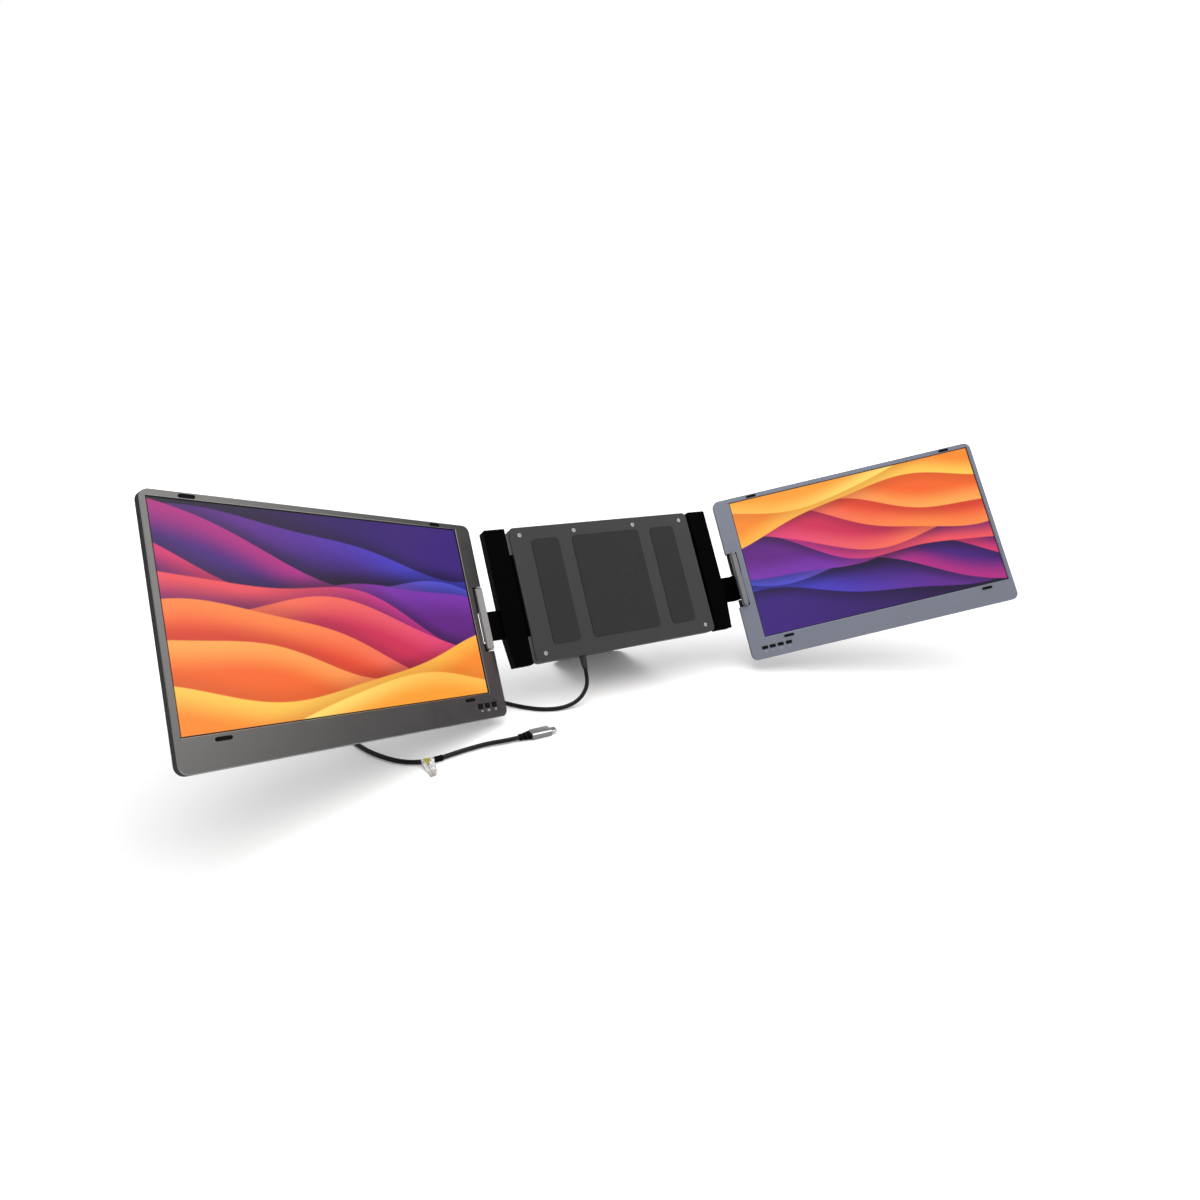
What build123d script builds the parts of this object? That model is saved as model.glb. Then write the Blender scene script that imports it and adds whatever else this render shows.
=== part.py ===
from build123d import *
import math
import os

# Laptop screen extender: two 14-inch side screens hinged to a bracket that sticks to the back of a
# laptop's lid. Millimetres. Row frame: +X to the user's right, +Y away from the user, +Z up.
# The origin is the middle of the bracket's front face, which lies on the lid. The lid leans back
# by TILT, and everything on the bracket is drawn upright first and leaned back at the end.

# ---- pose at rest ----
TILT = 31.0                  # lean of the bracket, degrees back from vertical
TABLE_DROP = 118.0           # origin's height above the table
SWING = {"left": 28.0, "right": 29.3}   # how far each screen is swung forward, degrees

# ---- screen panels, in a frame whose origin is on the hinge axis, level with the picture's middle ----
ACTIVE_W = 309.9             # 14-inch 16:9 picture
ACTIVE_H = 174.3
BORDER_OUTER = 6.0
BORDER_TOP = 6.4
BORDER_INNER = 22.0
BORDER_BOTTOM = 26.7
PANEL_CORNER = 8.0
PANEL_THICK = 8.0
BEZEL_THICK = 1.4
PANEL_WALL = 1.2
BACK_EDGE = 2.0              # rounding of the back cover's rear edge
FRONT_CHAMFER = 0.5
WINDOW_MARGIN = 0.8          # black edge of the glass left showing round the picture
WINDOW_CHAMFER = 0.8
AXIS_INSET = 13.8            # hinge axis to the picture's inner edge
AXIS_PROUD = 2.5             # hinge axis in front of the panel's face
PANEL_LOW = 10.0             # picture's middle below the bracket's middle

GLASS_THICK = 1.2
BACKLIGHT_THICK = 2.2
MODULE_SIDE = 2.5            # glass past the picture at the sides and top
MODULE_BOTTOM = 8.0          # and below, where its drivers are

PAD_LENGTH = 12.5
PAD_WIDTH = 3.0
PAD_PROUD = 0.8
PAD_SEAT = 0.5
PAD_FROM_SIDE = 28.5         # pad's middle from the picture's left and right edges
PAD_ABOVE = 3.3              # upper pads' middle above the picture
PAD_BELOW = 5.3              # lower pads' middle below the picture

BUTTON_SIZE = {"left": (6.8, 5.0), "right": (7.4, 3.7)}
BUTTON_X = {                 # middles, from the picture's inner edge towards its middle
    "left": (-4.1, 5.9, 16.1),
    "right": (-4.3, 5.4, 15.5, 26.1),
}
BUTTON_BELOW = {"left": 13.0, "right": 13.5}   # middle below the picture
BUTTON_CORNER = 0.8
BUTTON_PROUD = 0.3
BUTTON_GAP = 0.2
BUTTON_LIP = 1.0             # flange that keeps the cap in
BUTTON_LIP_THICK = 0.7
BUTTON_TRAVEL = 0.4
SWITCH_SIZE = 4.0
SWITCH_THICK = 1.4
BOARD_THICK = 1.0
BOARD_STANDOFF = 1.6         # boards stand this far off the back wall
BOARD_POST_R = 1.8
SWITCH_MARGIN = (3.0, 1.8)   # button board past the outer switches, across and up

DRIVER_BOARD_CLEAR = 13.95   # driver board's inner end past the cover's inner lower screw
DRIVER_BOARD_H = 14.0
DRIVER_BOARD_GAP = 1.0       # driver board above the cover's lower wall
CHIP_THICK = 1.0
CHIP_TALL = 8.0
CHIPS = ((0.25, 12.0), (0.5, 9.0), (0.75, 16.0))   # share along the board, and width

# ---- hinges ----
BARREL_R = 4.1
BARREL_FLAT = 2.35           # flat front of the barrel, from its axis
BARREL_LENGTH = 65.0
BARREL_BEVEL = 0.5
BARREL_MID = -10.4           # middle of the barrel, from the picture's middle
LUG_THICK = 1.5              # plates past the barrel's ends, which hold the pin
LUG_R = 3.0
LUG_GAP = 0.2
PIN_R = 1.6
PIN_FIT = 0.05               # radial running clearance of barrel on pin
NOTCH_GAP = 0.4              # notch past the lugs
NOTCH_CLEAR = 1.5            # notch wall to barrel
LEAF_THICK = 1.7
LEAF_REACH = 34.0
LEAF_MARGIN = 6.0            # leaf past the lugs
LEAF_SCREW_X = (9.0, 6.0)    # screws in from the leaf's two upright edges
LEAF_SCREW_Z = 5.0           # and in from its ends

SCREW_SHANK_R = 1.0
SCREW_HEAD_R = 2.0
SCREW_HEAD = 0.8
SCREW_SINK = 0.1             # head below the surface
COVER_SCREW_SIDE = 9.0       # cover's inner screws from the panel's inner edge
COVER_SCREW_END = 9.0        # and in from the picture's top and bottom
COVER_SCREW_LOW = 9.0        # cover's lower screws above the panel's lower edge
COVER_SCREW_X = (66.0, 4.0)  # and in from the picture's two sides
POST_R = 2.6
POST_STEP = 1.5              # cover's short posts, which meet the bezel's long ones

# ---- arms ----
HINGE_PAST = 19.1            # hinge axes outside the wings' outer sides
HINGE_FORWARD = {"left": -1.0, "right": 9.7}  # hinge axes in front of the lid's back
ARM_FRONT = 4.5              # arm's front face behind the lid's back
ARM_THICK = 6.0
ARM_HEIGHT = 31.0
ARM_MID = -28.85             # arm's middle from the bracket's middle
ARM_RISER = 6.0              # width of the arm's end that turns forward to the barrel
ARM_ROOT = 18.0              # arm inside the wing
ARM_ROUND = 4.0
ARM_CLEAR = 1.0              # back cover's opening for the arm, above and below it

# ---- bracket ----
BRACKET_TOP = 75.0
BRACKET_BOTTOM = 77.0
BRACKET_DEPTH = 15.0
CORE_HALF = 120.0
BRACKET_CORNER = 6.0
BRACKET_EDGE = 1.5
PLATE_THICK = 2.5
MAT_PROUD = 0.6
MAT_SEAT = 0.4
MAT_MIDDLE_WIDE = 90.0
MAT_SIDE_WIDE = 34.0
MAT_SIDE_IN = 24.0           # side mats' outer edges in from the bracket's ends
MAT_HEIGHT = 120.0
MAT_CORNER = 5.0
MAGNET_R = 9.0
MAGNET_THICK = 1.5
MAGNET_UP = 48.0
BRACKET_WALL = 1.8
PLATE_SCREW_IN = 12.0        # corner screws in from the bracket's ends
PLATE_SCREW_EDGE = 9.0       # screws in from its upper and lower edges
PLATE_SCREW_MIDDLE = 40.0    # upper middle screws from its middle
PLATE_HEAD_R = 2.4
PLATE_HEAD = 1.4
PLATE_SHANK_R = 1.1
PLATE_SCREW_LENGTH = 8.0
BOSS_R = 3.4

# ---- wings: they slide out of the bracket for wider lids ----
WING_BLOCK = 24.8            # width of the wing's outer block
WING_GAP = 0.5               # left between wing and bracket when pushed in
WING_IN = 4.0                # travel inwards from rest
WING_OUT = 20.0              # travel outwards from rest
WING_TAPER = (3.5, 33.0)     # slanted lower outer corner: in and up
WING_CORNER = 2.0            # rounding of its upper outer corner
TONGUE_LENGTH = 70.0         # tongue inside the bracket, at rest
TONGUE_CORNER = 3.0
TONGUE_FRONT = 5.2
TONGUE_THICK = 3.2
TONGUE_HALF = 46.0
TONGUE_GAP = 0.3
RAIL = 2.0
RAIL_LENGTH = 60.0
WING_COVER_THICK = 2.0
GUIDE_IN = 30.0              # guide screws in from the bracket's ends
GUIDE_UP = 34.0              # and above and below its middle
SHOULDER_R = 1.5
SHOULDER_FIT = 0.1
GUIDE_HEAD_R = 3.0
GUIDE_HEAD = 1.5
GUIDE_THREAD = 3.2
ARM_SCREW_R = 1.25
ARM_SCREW_HEAD_R = 2.8
ARM_SCREW_HEAD = 1.4
ARM_SCREW_AT = 9.0           # screws above and below the arm's middle
ARM_SCREW_PAST = 2.5         # thread in the wing's bosses

# ---- kickstand ----
PIVOT_UP = 12.0              # pivot above the bracket's lower edge
PIVOT_BACK = 12.7            # pivot behind the lid's back
LEG_HALF = 50.0
LEG_THICK = 2.6
LEG_CORNER = 10.0
LEG_KNUCKLE_R = 1.9
LEG_PIN_R = 0.9
LEG_PIN_FIT = 0.05
LEG_EAR = 5.0                # width of the pocket's ears that hold the pin
LEG_EAR_HALF = 4.0
LEG_PIN_IN = 4.0             # pin's ends inside the ears
FOOT_HALF = 40.0
FOOT_R = 1.9
FOOT_GRIP = 6.0
POCKET_GAP = 1.0
POCKET_WALL = 1.2
POCKET_FLOOR = 10.6

# ---- controller board and the lead's gland ----
BOARD_IN = 22.0              # controller board's outer end in from the bracket's end
BOARD_WIDE = 44.0
BOARD_BOTTOM_GAP = 5.0
BOARD_TALL = 21.0
BOARD_FRONT = 6.0
BOARD_POST_AT = 4.0          # controller board's posts from its ends
MAIN_CHIP = 12.0
GLAND_IN = 8.0               # gland in from the controller board's inner end
GLAND_BACK = 8.0
GLAND_R = 4.2
GLAND_TIP_R = 3.0
GLAND_LENGTH = 14.0
GLAND_FLANGE_R = 6.0
GLAND_FLANGE = 1.5

# ---- lead and plug ----
CORD_R = 2.25
CORD_ROUTE = (               # route after the gland: x, y and the lead's height over the table
    (-69.0, -53.2, 10.8),
    (-81.5, -57.0, 3.2),
    (-99.0, -57.5, 0.2),
    (-118.0, -52.0, 0.0),
    (-135.8, -36.8, 0.0),
    (-148.7, -19.0, 0.0),
    (-166.0, 8.0, 0.0),
    (-190.0, 35.0, 0.0),
    (-222.0, 54.0, 0.0),
    (-258.0, 58.0, 0.0),
    (-289.0, 42.0, 0.0),
    (-309.0, 12.0, 0.0),
    (-317.0, -16.0, 0.0),
    (-313.5, -38.0, 0.0),
    (-305.0, -61.0, 0.0),
    (-293.0, -81.0, 0.1),
    (-282.0, -92.8, 0.2),
    (-269.0, -99.7, 0.4),
    (-256.3, -101.5, 0.5),
    (-248.0, -100.7, 0.6),
    (-234.0, -98.1, 0.6),
    (-217.0, -95.9, 0.6),
    (-199.0, -95.2, 0.8),
)
CORD_START = 14.0            # straight run out of the gland
CORD_FINISH = 13.0           # straight run into the plug
CORD_SHARE = 0.45            # share of the shorter run that an arc takes
PLUG_AT = (-168.6, -98.2)    # where the lead enters the plug's strain relief
PLUG_LENGTH = 21.5
PLUG_WIDTH = 12.4
PLUG_TALL = 6.6
PLUG_CORNER = 1.6
RELIEF_STEPS = ((4.0, 6.6, 5.2), (4.2, 8.6, 5.8), (4.2, 10.8, 6.2))   # length, width, height
TIP_LENGTH = 6.6
TIP_WIDTH = 8.3
TIP_TALL = 2.5
TIP_WALL = 0.35
TIP_DEEP = 5.5
SLEEVE_LENGTH = 7.8
SLEEVE_WALL = 0.6
SLEEVE_RUN = 20              # route run that the sleeve is on, counted from the gland
TAG_RUN = 19                 # route run that the tag is on, counted from the gland
TAG_THICK = 0.5
TAG_WIDTH = 11.5
TAG_REACH = 26.0
TAG_END = 7.0
INSERT_SPAN = (2.5, 12.0)    # pointed coloured slip, from the lead
INSERT_WIDTH = 7.5
INSERT_THICK = 0.3
TAG_TURN = -3.0              # tag's direction from straight towards the user, degrees

# ---- working allowances ----
PAST = 1.0                   # how far a cut runs past what it cuts
BITE = 0.1                   # how far a joined shape runs into its neighbour

os.makedirs("parts", exist_ok=True)
FACE = AXIS_PROUD                              # panel's front face, behind the hinge axis
BEZEL_BACK = FACE + BEZEL_THICK
PANEL_BACK = FACE + PANEL_THICK
PANEL_INSIDE = PANEL_BACK - PANEL_WALL
PANEL_LEFT = AXIS_INSET - BORDER_INNER
PANEL_RIGHT = AXIS_INSET + ACTIVE_W + BORDER_OUTER
PANEL_TOP = ACTIVE_H / 2 + BORDER_TOP
PANEL_BOTTOM = -ACTIVE_H / 2 - BORDER_BOTTOM
PICTURE_X = AXIS_INSET + ACTIVE_W / 2
GLASS_FRONT = BEZEL_BACK
BACKLIGHT_FRONT = GLASS_FRONT + GLASS_THICK
BARREL_LOW = BARREL_MID - BARREL_LENGTH / 2
BARREL_HIGH = BARREL_MID + BARREL_LENGTH / 2
PIN_LOW = BARREL_LOW - LUG_GAP - LUG_THICK
PIN_HIGH = BARREL_HIGH + LUG_GAP + LUG_THICK
NOTCH_WALL = BARREL_R + NOTCH_CLEAR
LEAF_BACK = PANEL_INSIDE
LEAF_FRONT = LEAF_BACK - LEAF_THICK
BOARD_FACE = PANEL_INSIDE - BOARD_STANDOFF - BOARD_THICK
WING_INNER = CORE_HALF + WING_IN + WING_GAP
WING_END = WING_INNER + WING_BLOCK
HINGE_REACH = WING_END + HINGE_PAST
TONGUE_INNER = CORE_HALF - TONGUE_LENGTH
GUIDE_X = CORE_HALF - GUIDE_IN
MAT_SIDE_X = CORE_HALF - MAT_SIDE_IN - MAT_SIDE_WIDE / 2
MATS = ((0.0, MAT_MIDDLE_WIDE), (-MAT_SIDE_X, MAT_SIDE_WIDE), (MAT_SIDE_X, MAT_SIDE_WIDE))
BOARD_X = (-CORE_HALF + BOARD_IN, -CORE_HALF + BOARD_IN + BOARD_WIDE)
GLAND_X = BOARD_X[1] - GLAND_IN
CORE_BACK = BRACKET_DEPTH
CORE_INSIDE = CORE_BACK - BRACKET_WALL
PLATE_FRONT = MAT_PROUD
PLATE_BACK = PLATE_FRONT + PLATE_THICK
TONGUE_BACK = TONGUE_FRONT + TONGUE_THICK
PIVOT_Z = -BRACKET_BOTTOM + PIVOT_UP
MIRROR = {"left": -1, "right": 1}


def block(x, y, z):
    """A box from three (low, high) pairs."""
    box = Box(x[1] - x[0], y[1] - y[0], z[1] - z[0])
    return Pos((x[0] + x[1]) / 2, (y[0] + y[1]) / 2, (z[0] + z[1]) / 2) * box


def slab(face, y0, y1, taper=0):
    """A face drawn in x and z, thickened from y0 back to y1."""
    return Pos(0, y1, 0) * Rot(90, 0, 0) * extrude(face, y1 - y0, taper=taper)


def rounded(x, z, radius):
    """A rounded rectangle from (low, high) pairs, as a face in x and z."""
    return Pos((x[0] + x[1]) / 2, (z[0] + z[1]) / 2) * RectangleRounded(x[1] - x[0], z[1] - z[0], radius)


def rod(x, z, radius, y0, y1):
    """A round rod along y."""
    return Pos(x, (y0 + y1) / 2, z) * Rot(90, 0, 0) * Cylinder(radius, y1 - y0)


def upright(radius, z0, z1):
    """A round rod along z on the local axis."""
    return Pos(0, 0, (z0 + z1) / 2) * Cylinder(radius, z1 - z0)


def lean(shape):
    """Leans a shape drawn in the upright bracket frame back to the lid's angle."""
    return Rot(-TILT, 0, 0) * shape


def leaned(x, y, z):
    """The row-frame place of a point of the upright bracket frame."""
    turn = math.radians(TILT)
    return (x, y * math.cos(turn) + z * math.sin(turn), z * math.cos(turn) - y * math.sin(turn))


def hang(shape, side):
    """Puts a panel piece, drawn for the right side on its hinge axis, where the side's panel is."""
    sign = MIRROR[side]
    if sign < 0:
        shape = mirror(shape, about=Plane.YZ)
    turned = Rot(0, 0, -sign * SWING[side]) * shape
    return lean(Pos(sign * HINGE_REACH, -HINGE_FORWARD[side], -PANEL_LOW) * turned)


def sided(shape, side):
    """Puts a bracket piece drawn for the right side on the given side."""
    return lean(mirror(shape, about=Plane.YZ) if MIRROR[side] < 0 else shape)


def save(name, shape):
    """Writes one node's STEP file."""
    shape.label = name
    export_step(shape, f"parts/{name}.step")


def group(shapes):
    """Separate solids kept together in one node."""
    return Compound(children=[solid for shape in shapes for solid in shape.solids()])


# ---- panel pieces ----
def panel_outline(inset):
    """The panel's outline, moved in by inset."""
    return rounded((PANEL_LEFT + inset, PANEL_RIGHT - inset),
                   (PANEL_BOTTOM + inset, PANEL_TOP - inset), PANEL_CORNER - inset)


def notch(wall):
    """The cut in the panel's inner edge that the hinge barrel turns in, grown by wall."""
    return block((PANEL_LEFT - PAST, NOTCH_WALL + wall), (FACE - PAST, PANEL_BACK + PAST),
                 (PIN_LOW - NOTCH_GAP - wall, PIN_HIGH + NOTCH_GAP + wall))


def cover_notch():
    """The notch in the back cover: its rear wall stays behind the barrel, except where the arm passes."""
    edges, span = (PANEL_LEFT - PAST, NOTCH_WALL), (PIN_LOW - NOTCH_GAP, PIN_HIGH + NOTCH_GAP)
    through = (FACE - PAST, PANEL_BACK + PAST)
    reach = ARM_HEIGHT / 2 + ARM_CLEAR
    body = block(edges, (FACE - PAST, PANEL_INSIDE), span)
    body += block((PANEL_LEFT - PAST, PANEL_LEFT + BACK_EDGE), through, span)
    return body + block(edges, through, (ARM_MID + PANEL_LOW - reach, ARM_MID + PANEL_LOW + reach))


def pad_places():
    """Middles of the four face pads."""
    low, high = AXIS_INSET + PAD_FROM_SIDE, AXIS_INSET + ACTIVE_W - PAD_FROM_SIDE
    top, bottom = ACTIVE_H / 2 + PAD_ABOVE, -ACTIVE_H / 2 - PAD_BELOW
    return [(x, z) for x in (low, high) for z in (top, bottom)]


def button_z(side):
    """Height of a side's row of buttons."""
    return -ACTIVE_H / 2 - BUTTON_BELOW[side]


def button_places(side):
    """Distances of a side's buttons from the hinge axis."""
    return [AXIS_INSET + x for x in BUTTON_X[side]]


def button_face(side, grow, x):
    """The outline of a button cap, grown by a gap or a lip."""
    wide, tall = BUTTON_SIZE[side]
    return Pos(x, button_z(side)) * RectangleRounded(wide + 2 * grow, tall + 2 * grow, BUTTON_CORNER)


def bezel(side):
    """Front frame: window, notch, button holes, pad seats and screw posts."""
    body = slab(panel_outline(0), FACE, BEZEL_BACK)
    front = body.edges().group_by(Axis.Y)[0]
    body = chamfer(front, FRONT_CHAMFER)
    window = Pos(PICTURE_X, 0) * Rectangle(ACTIVE_W + 2 * WINDOW_MARGIN, ACTIVE_H + 2 * WINDOW_MARGIN)
    flare = offset(window, WINDOW_CHAMFER, kind=Kind.INTERSECTION)
    body -= slab(window, FACE - PAST, BEZEL_BACK + PAST)
    body -= Pos(0, FACE, 0) * Rot(-90, 0, 0) * mirror(extrude(flare, WINDOW_CHAMFER, taper=45), Plane.XZ)
    for x in button_places(side):
        body -= slab(button_face(side, BUTTON_GAP, x), FACE - PAST, BEZEL_BACK + PAST)
    for x, z in pad_places():
        body -= slab(Pos(x, z) * SlotOverall(PAD_LENGTH, PAD_WIDTH), FACE - PAST, FACE + PAD_SEAT)
    for x, z in cover_screw_places():
        body += rod(x, z, POST_R, FACE + PAD_SEAT, PANEL_INSIDE - POST_STEP)
        body -= rod(x, z, SCREW_SHANK_R, BEZEL_BACK, PANEL_BACK)
    return body - notch(0)


def back_cover(side):
    """Rear tray with walls round the edge, the hinge notch and posts for the boards."""
    body = slab(panel_outline(0), BEZEL_BACK, PANEL_BACK)
    body = fillet(body.edges().group_by(Axis.Y)[-1], BACK_EDGE)
    hollow = slab(panel_outline(PANEL_WALL), BEZEL_BACK - PAST, PANEL_INSIDE) - notch(PANEL_WALL)
    body -= hollow
    head = PANEL_BACK - SCREW_HEAD - SCREW_SINK
    for x, z in cover_screw_places():
        body += rod(x, z, POST_R, PANEL_INSIDE - POST_STEP, PANEL_INSIDE + PANEL_WALL / 2)
    for x, z in cover_screw_places() + leaf_screw_places():
        body -= rod(x, z, SCREW_SHANK_R, FACE, PANEL_BACK + PAST)
        body -= rod(x, z, SCREW_HEAD_R, head, PANEL_BACK + PAST)
    posts = [(x, driver_board_z()) for x in inner_ends(driver_board_x())]
    posts += [(x, button_z(side)) for x in inner_ends(button_board_x(side))]
    for x, z in posts:
        body += rod(x, z, BOARD_POST_R, BOARD_FACE + BOARD_THICK, PANEL_INSIDE + PANEL_WALL / 2)
    for z0, z1 in lug_spans():
        body -= block((NOTCH_WALL - PAST, NOTCH_WALL + PANEL_WALL + PAST), (LEAF_FRONT - 0.8, PANEL_INSIDE),
                      (z0 - LUG_GAP, z1 + LUG_GAP))
    return body - cover_notch()


def inner_ends(span):
    """Two places just inside a board's ends, where its posts stand."""
    return span[0] + 2 * BOARD_POST_R, span[1] - 2 * BOARD_POST_R


def button_board_x(side):
    """Left and right edges of the board behind the buttons."""
    reach = SWITCH_SIZE / 2 + SWITCH_MARGIN[0]
    places = button_places(side)
    return places[0] - reach, places[-1] + reach


def driver_board_x():
    """Left and right edges of the driver board, which is centred below the picture."""
    inner = AXIS_INSET + COVER_SCREW_X[0] + DRIVER_BOARD_CLEAR
    return inner, 2 * PICTURE_X - inner


def driver_board_z():
    """Middle height of the driver board, in the deep lower border."""
    return PANEL_BOTTOM + PANEL_WALL + DRIVER_BOARD_GAP + DRIVER_BOARD_H / 2


def module_outline():
    """The outline that the glass and the backlight share."""
    return rounded((AXIS_INSET - MODULE_SIDE, AXIS_INSET + ACTIVE_W + MODULE_SIDE),
                   (-ACTIVE_H / 2 - MODULE_BOTTOM, ACTIVE_H / 2 + MODULE_SIDE), 1.0)


def driver_board():
    """Circuit board that drives the glass, with its chips."""
    x0, x1 = driver_board_x()
    z = driver_board_z()
    body = block((x0, x1), (BOARD_FACE, BOARD_FACE + BOARD_THICK),
                 (z - DRIVER_BOARD_H / 2, z + DRIVER_BOARD_H / 2))
    for share, wide in CHIPS:
        x = x0 + (x1 - x0) * share
        body += block((x - wide / 2, x + wide / 2), (BOARD_FACE - CHIP_THICK, BOARD_FACE),
                      (z - CHIP_TALL / 2, z + CHIP_TALL / 2))
    return body


def button_board(side):
    """Small board behind the buttons."""
    z = button_z(side)
    half = SWITCH_SIZE / 2 + SWITCH_MARGIN[1]
    return block(button_board_x(side), (BOARD_FACE, BOARD_FACE + BOARD_THICK), (z - half, z + half))


def button_switches(side):
    """The little switches that the caps press."""
    half = SWITCH_SIZE / 2
    z = button_z(side)
    return group([block((x - half, x + half), (BOARD_FACE - SWITCH_THICK, BOARD_FACE), (z - half, z + half))
                  for x in button_places(side)])


def button(side, x):
    """A button cap with the lip that keeps it behind the bezel."""
    lip = BOARD_FACE - SWITCH_THICK - BUTTON_TRAVEL - 0.1
    body = slab(button_face(side, 0, x), FACE - BUTTON_PROUD, lip)
    return body + slab(button_face(side, BUTTON_LIP, x), lip - BUTTON_LIP_THICK, lip)


def face_pads():
    """Rubber pads that keep the folded screens apart."""
    return group([slab(Pos(x, z) * SlotOverall(PAD_LENGTH, PAD_WIDTH), FACE - PAD_PROUD, FACE + PAD_SEAT)
                  for x, z in pad_places()])


def cover_screw_places():
    """Screws that hold the back cover to the bezel."""
    inner, low = PANEL_LEFT + COVER_SCREW_SIDE, PANEL_BOTTOM + COVER_SCREW_LOW
    high = ACTIVE_H / 2 - COVER_SCREW_END
    return ((inner, high), (inner, -high), (AXIS_INSET + COVER_SCREW_X[0], low),
            (AXIS_INSET + ACTIVE_W - COVER_SCREW_X[1], low))


def lug_spans():
    """Heights of the leaf's two lugs."""
    return ((PIN_LOW, PIN_LOW + LUG_THICK), (PIN_HIGH - LUG_THICK, PIN_HIGH))


def leaf_screw_places():
    """Screws that hold the hinge leaf to the back cover."""
    xs = (NOTCH_WALL + PANEL_WALL + LEAF_SCREW_X[0], LEAF_REACH - LEAF_SCREW_X[1])
    zs = (PIN_LOW - LEAF_MARGIN + LEAF_SCREW_Z, PIN_HIGH + LEAF_MARGIN - LEAF_SCREW_Z)
    return tuple((x, z) for x in xs for z in zs)


def hinge_leaf():
    """Metal leaf behind the backlight, with two lugs that carry the hinge pin."""
    body = block((NOTCH_WALL + PANEL_WALL + 0.3, LEAF_REACH), (LEAF_FRONT, LEAF_BACK),
                 (PIN_LOW - LEAF_MARGIN, PIN_HIGH + LEAF_MARGIN))
    for z0, z1 in lug_spans():
        body += upright(LUG_R, z0, z1)
        body += block((0, LUG_R), (0, LEAF_BACK), (z0, z1))
        body += block((0, NOTCH_WALL + PANEL_WALL + PAST), (LEAF_FRONT - 0.5, LEAF_BACK), (z0, z1))
    for x, z in leaf_screw_places():
        body -= rod(x, z, SCREW_SHANK_R, FACE, PANEL_BACK)
    return body - upright(PIN_R, PIN_LOW - PAST, PIN_HIGH + PAST)


def back_screws(places, tip):
    """Screws driven in from behind, with their tips at tip."""
    under = PANEL_BACK - SCREW_HEAD - SCREW_SINK
    return group([rod(x, z, SCREW_SHANK_R, tip, under) + rod(x, z, SCREW_HEAD_R, under, under + SCREW_HEAD)
                  for x, z in places])


def make_panel(side):
    """Writes every piece of one screen panel."""
    save(f"{side}_bezel", hang(bezel(side), side))
    save(f"{side}_back_cover", hang(back_cover(side), side))
    save(f"{side}_lcd_glass", hang(slab(module_outline(), GLASS_FRONT, BACKLIGHT_FRONT), side))
    light = slab(module_outline(), BACKLIGHT_FRONT, BACKLIGHT_FRONT + BACKLIGHT_THICK)
    save(f"{side}_backlight", hang(light, side))
    save(f"{side}_driver_board", hang(driver_board(), side))
    save(f"{side}_button_board", hang(button_board(side), side))
    save(f"{side}_button_switches", hang(button_switches(side), side))
    save(f"{side}_face_pads", hang(face_pads(), side))
    save(f"{side}_hinge_leaf", hang(hinge_leaf(), side))
    save(f"{side}_hinge_pin", hang(upright(PIN_R, PIN_LOW, PIN_HIGH), side))
    save(f"{side}_leaf_screws", hang(back_screws(leaf_screw_places(), LEAF_FRONT), side))
    save(f"{side}_cover_screws", hang(back_screws(cover_screw_places(), BEZEL_BACK), side))
    for number, x in enumerate(button_places(side), 1):
        save(f"{side}_button_{number}", hang(button(side, x), side))


# ---- arms and wings ----
def barrel_blank(side, low, high, bevel):
    """The barrel's outside: round, with a flat front that is parallel to the lid."""
    flat = block((-2 * BARREL_R, 2 * BARREL_R), (-2 * BARREL_R, -BARREL_FLAT), (low - PAST, high + PAST))
    body = upright(BARREL_R, low, high) - flat
    if bevel > 0:
        body = chamfer(body.edges().group_by(Axis.Z)[0] + body.edges().group_by(Axis.Z)[-1], bevel)
    return Pos(HINGE_REACH, -HINGE_FORWARD[side], -PANEL_LOW) * body


def hinge_barrel(side):
    """Silver barrel that the arm holds and the pin turns in."""
    bore = upright(PIN_R + PIN_FIT, BARREL_LOW - PAST, BARREL_HIGH + PAST)
    bore = Pos(HINGE_REACH, -HINGE_FORWARD[side], -PANEL_LOW) * bore
    return barrel_blank(side, BARREL_LOW, BARREL_HIGH, BARREL_BEVEL) - bore


def arm_screw_places():
    """The two screws that hold the arm's root in the wing."""
    x = WING_END - BRACKET_WALL - ARM_ROOT / 2
    return [(x, ARM_MID - ARM_SCREW_AT), (x, ARM_MID + ARM_SCREW_AT)]


def arm(side):
    """Bent arm from inside the wing out to the hinge barrel."""
    y_axis = -HINGE_FORWARD[side]
    x0, x1 = WING_END - BRACKET_WALL - ARM_ROOT, HINGE_REACH + ARM_RISER / 2
    back = ARM_FRONT + ARM_THICK
    profile = make_face(FilletPolyline(
        (x0, ARM_FRONT), (HINGE_REACH - ARM_RISER / 2, ARM_FRONT), (HINGE_REACH - ARM_RISER / 2, y_axis),
        (x1, y_axis), (x1, back), (x0, back), radius=0.4, close=True))
    body = Pos(0, 0, ARM_MID - ARM_HEIGHT / 2) * extrude(profile, ARM_HEIGHT)
    body -= corner_cut(x1, back)
    body -= barrel_blank(side, 2 * BARREL_LOW, 2 * BARREL_HIGH, 0)
    for x, z in arm_screw_places():
        body -= rod(x, z, ARM_SCREW_R, ARM_FRONT - PAST, back + PAST)
    return body


def corner_cut(x, y):
    """What a rounding of the arm's outer back corner takes away."""
    square = block((x - ARM_ROUND, x + PAST), (y - ARM_ROUND, y + PAST), (-BRACKET_BOTTOM, BRACKET_TOP))
    return square - Pos(x - ARM_ROUND, y - ARM_ROUND, 0) * Cylinder(ARM_ROUND, 4 * BRACKET_BOTTOM)


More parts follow.
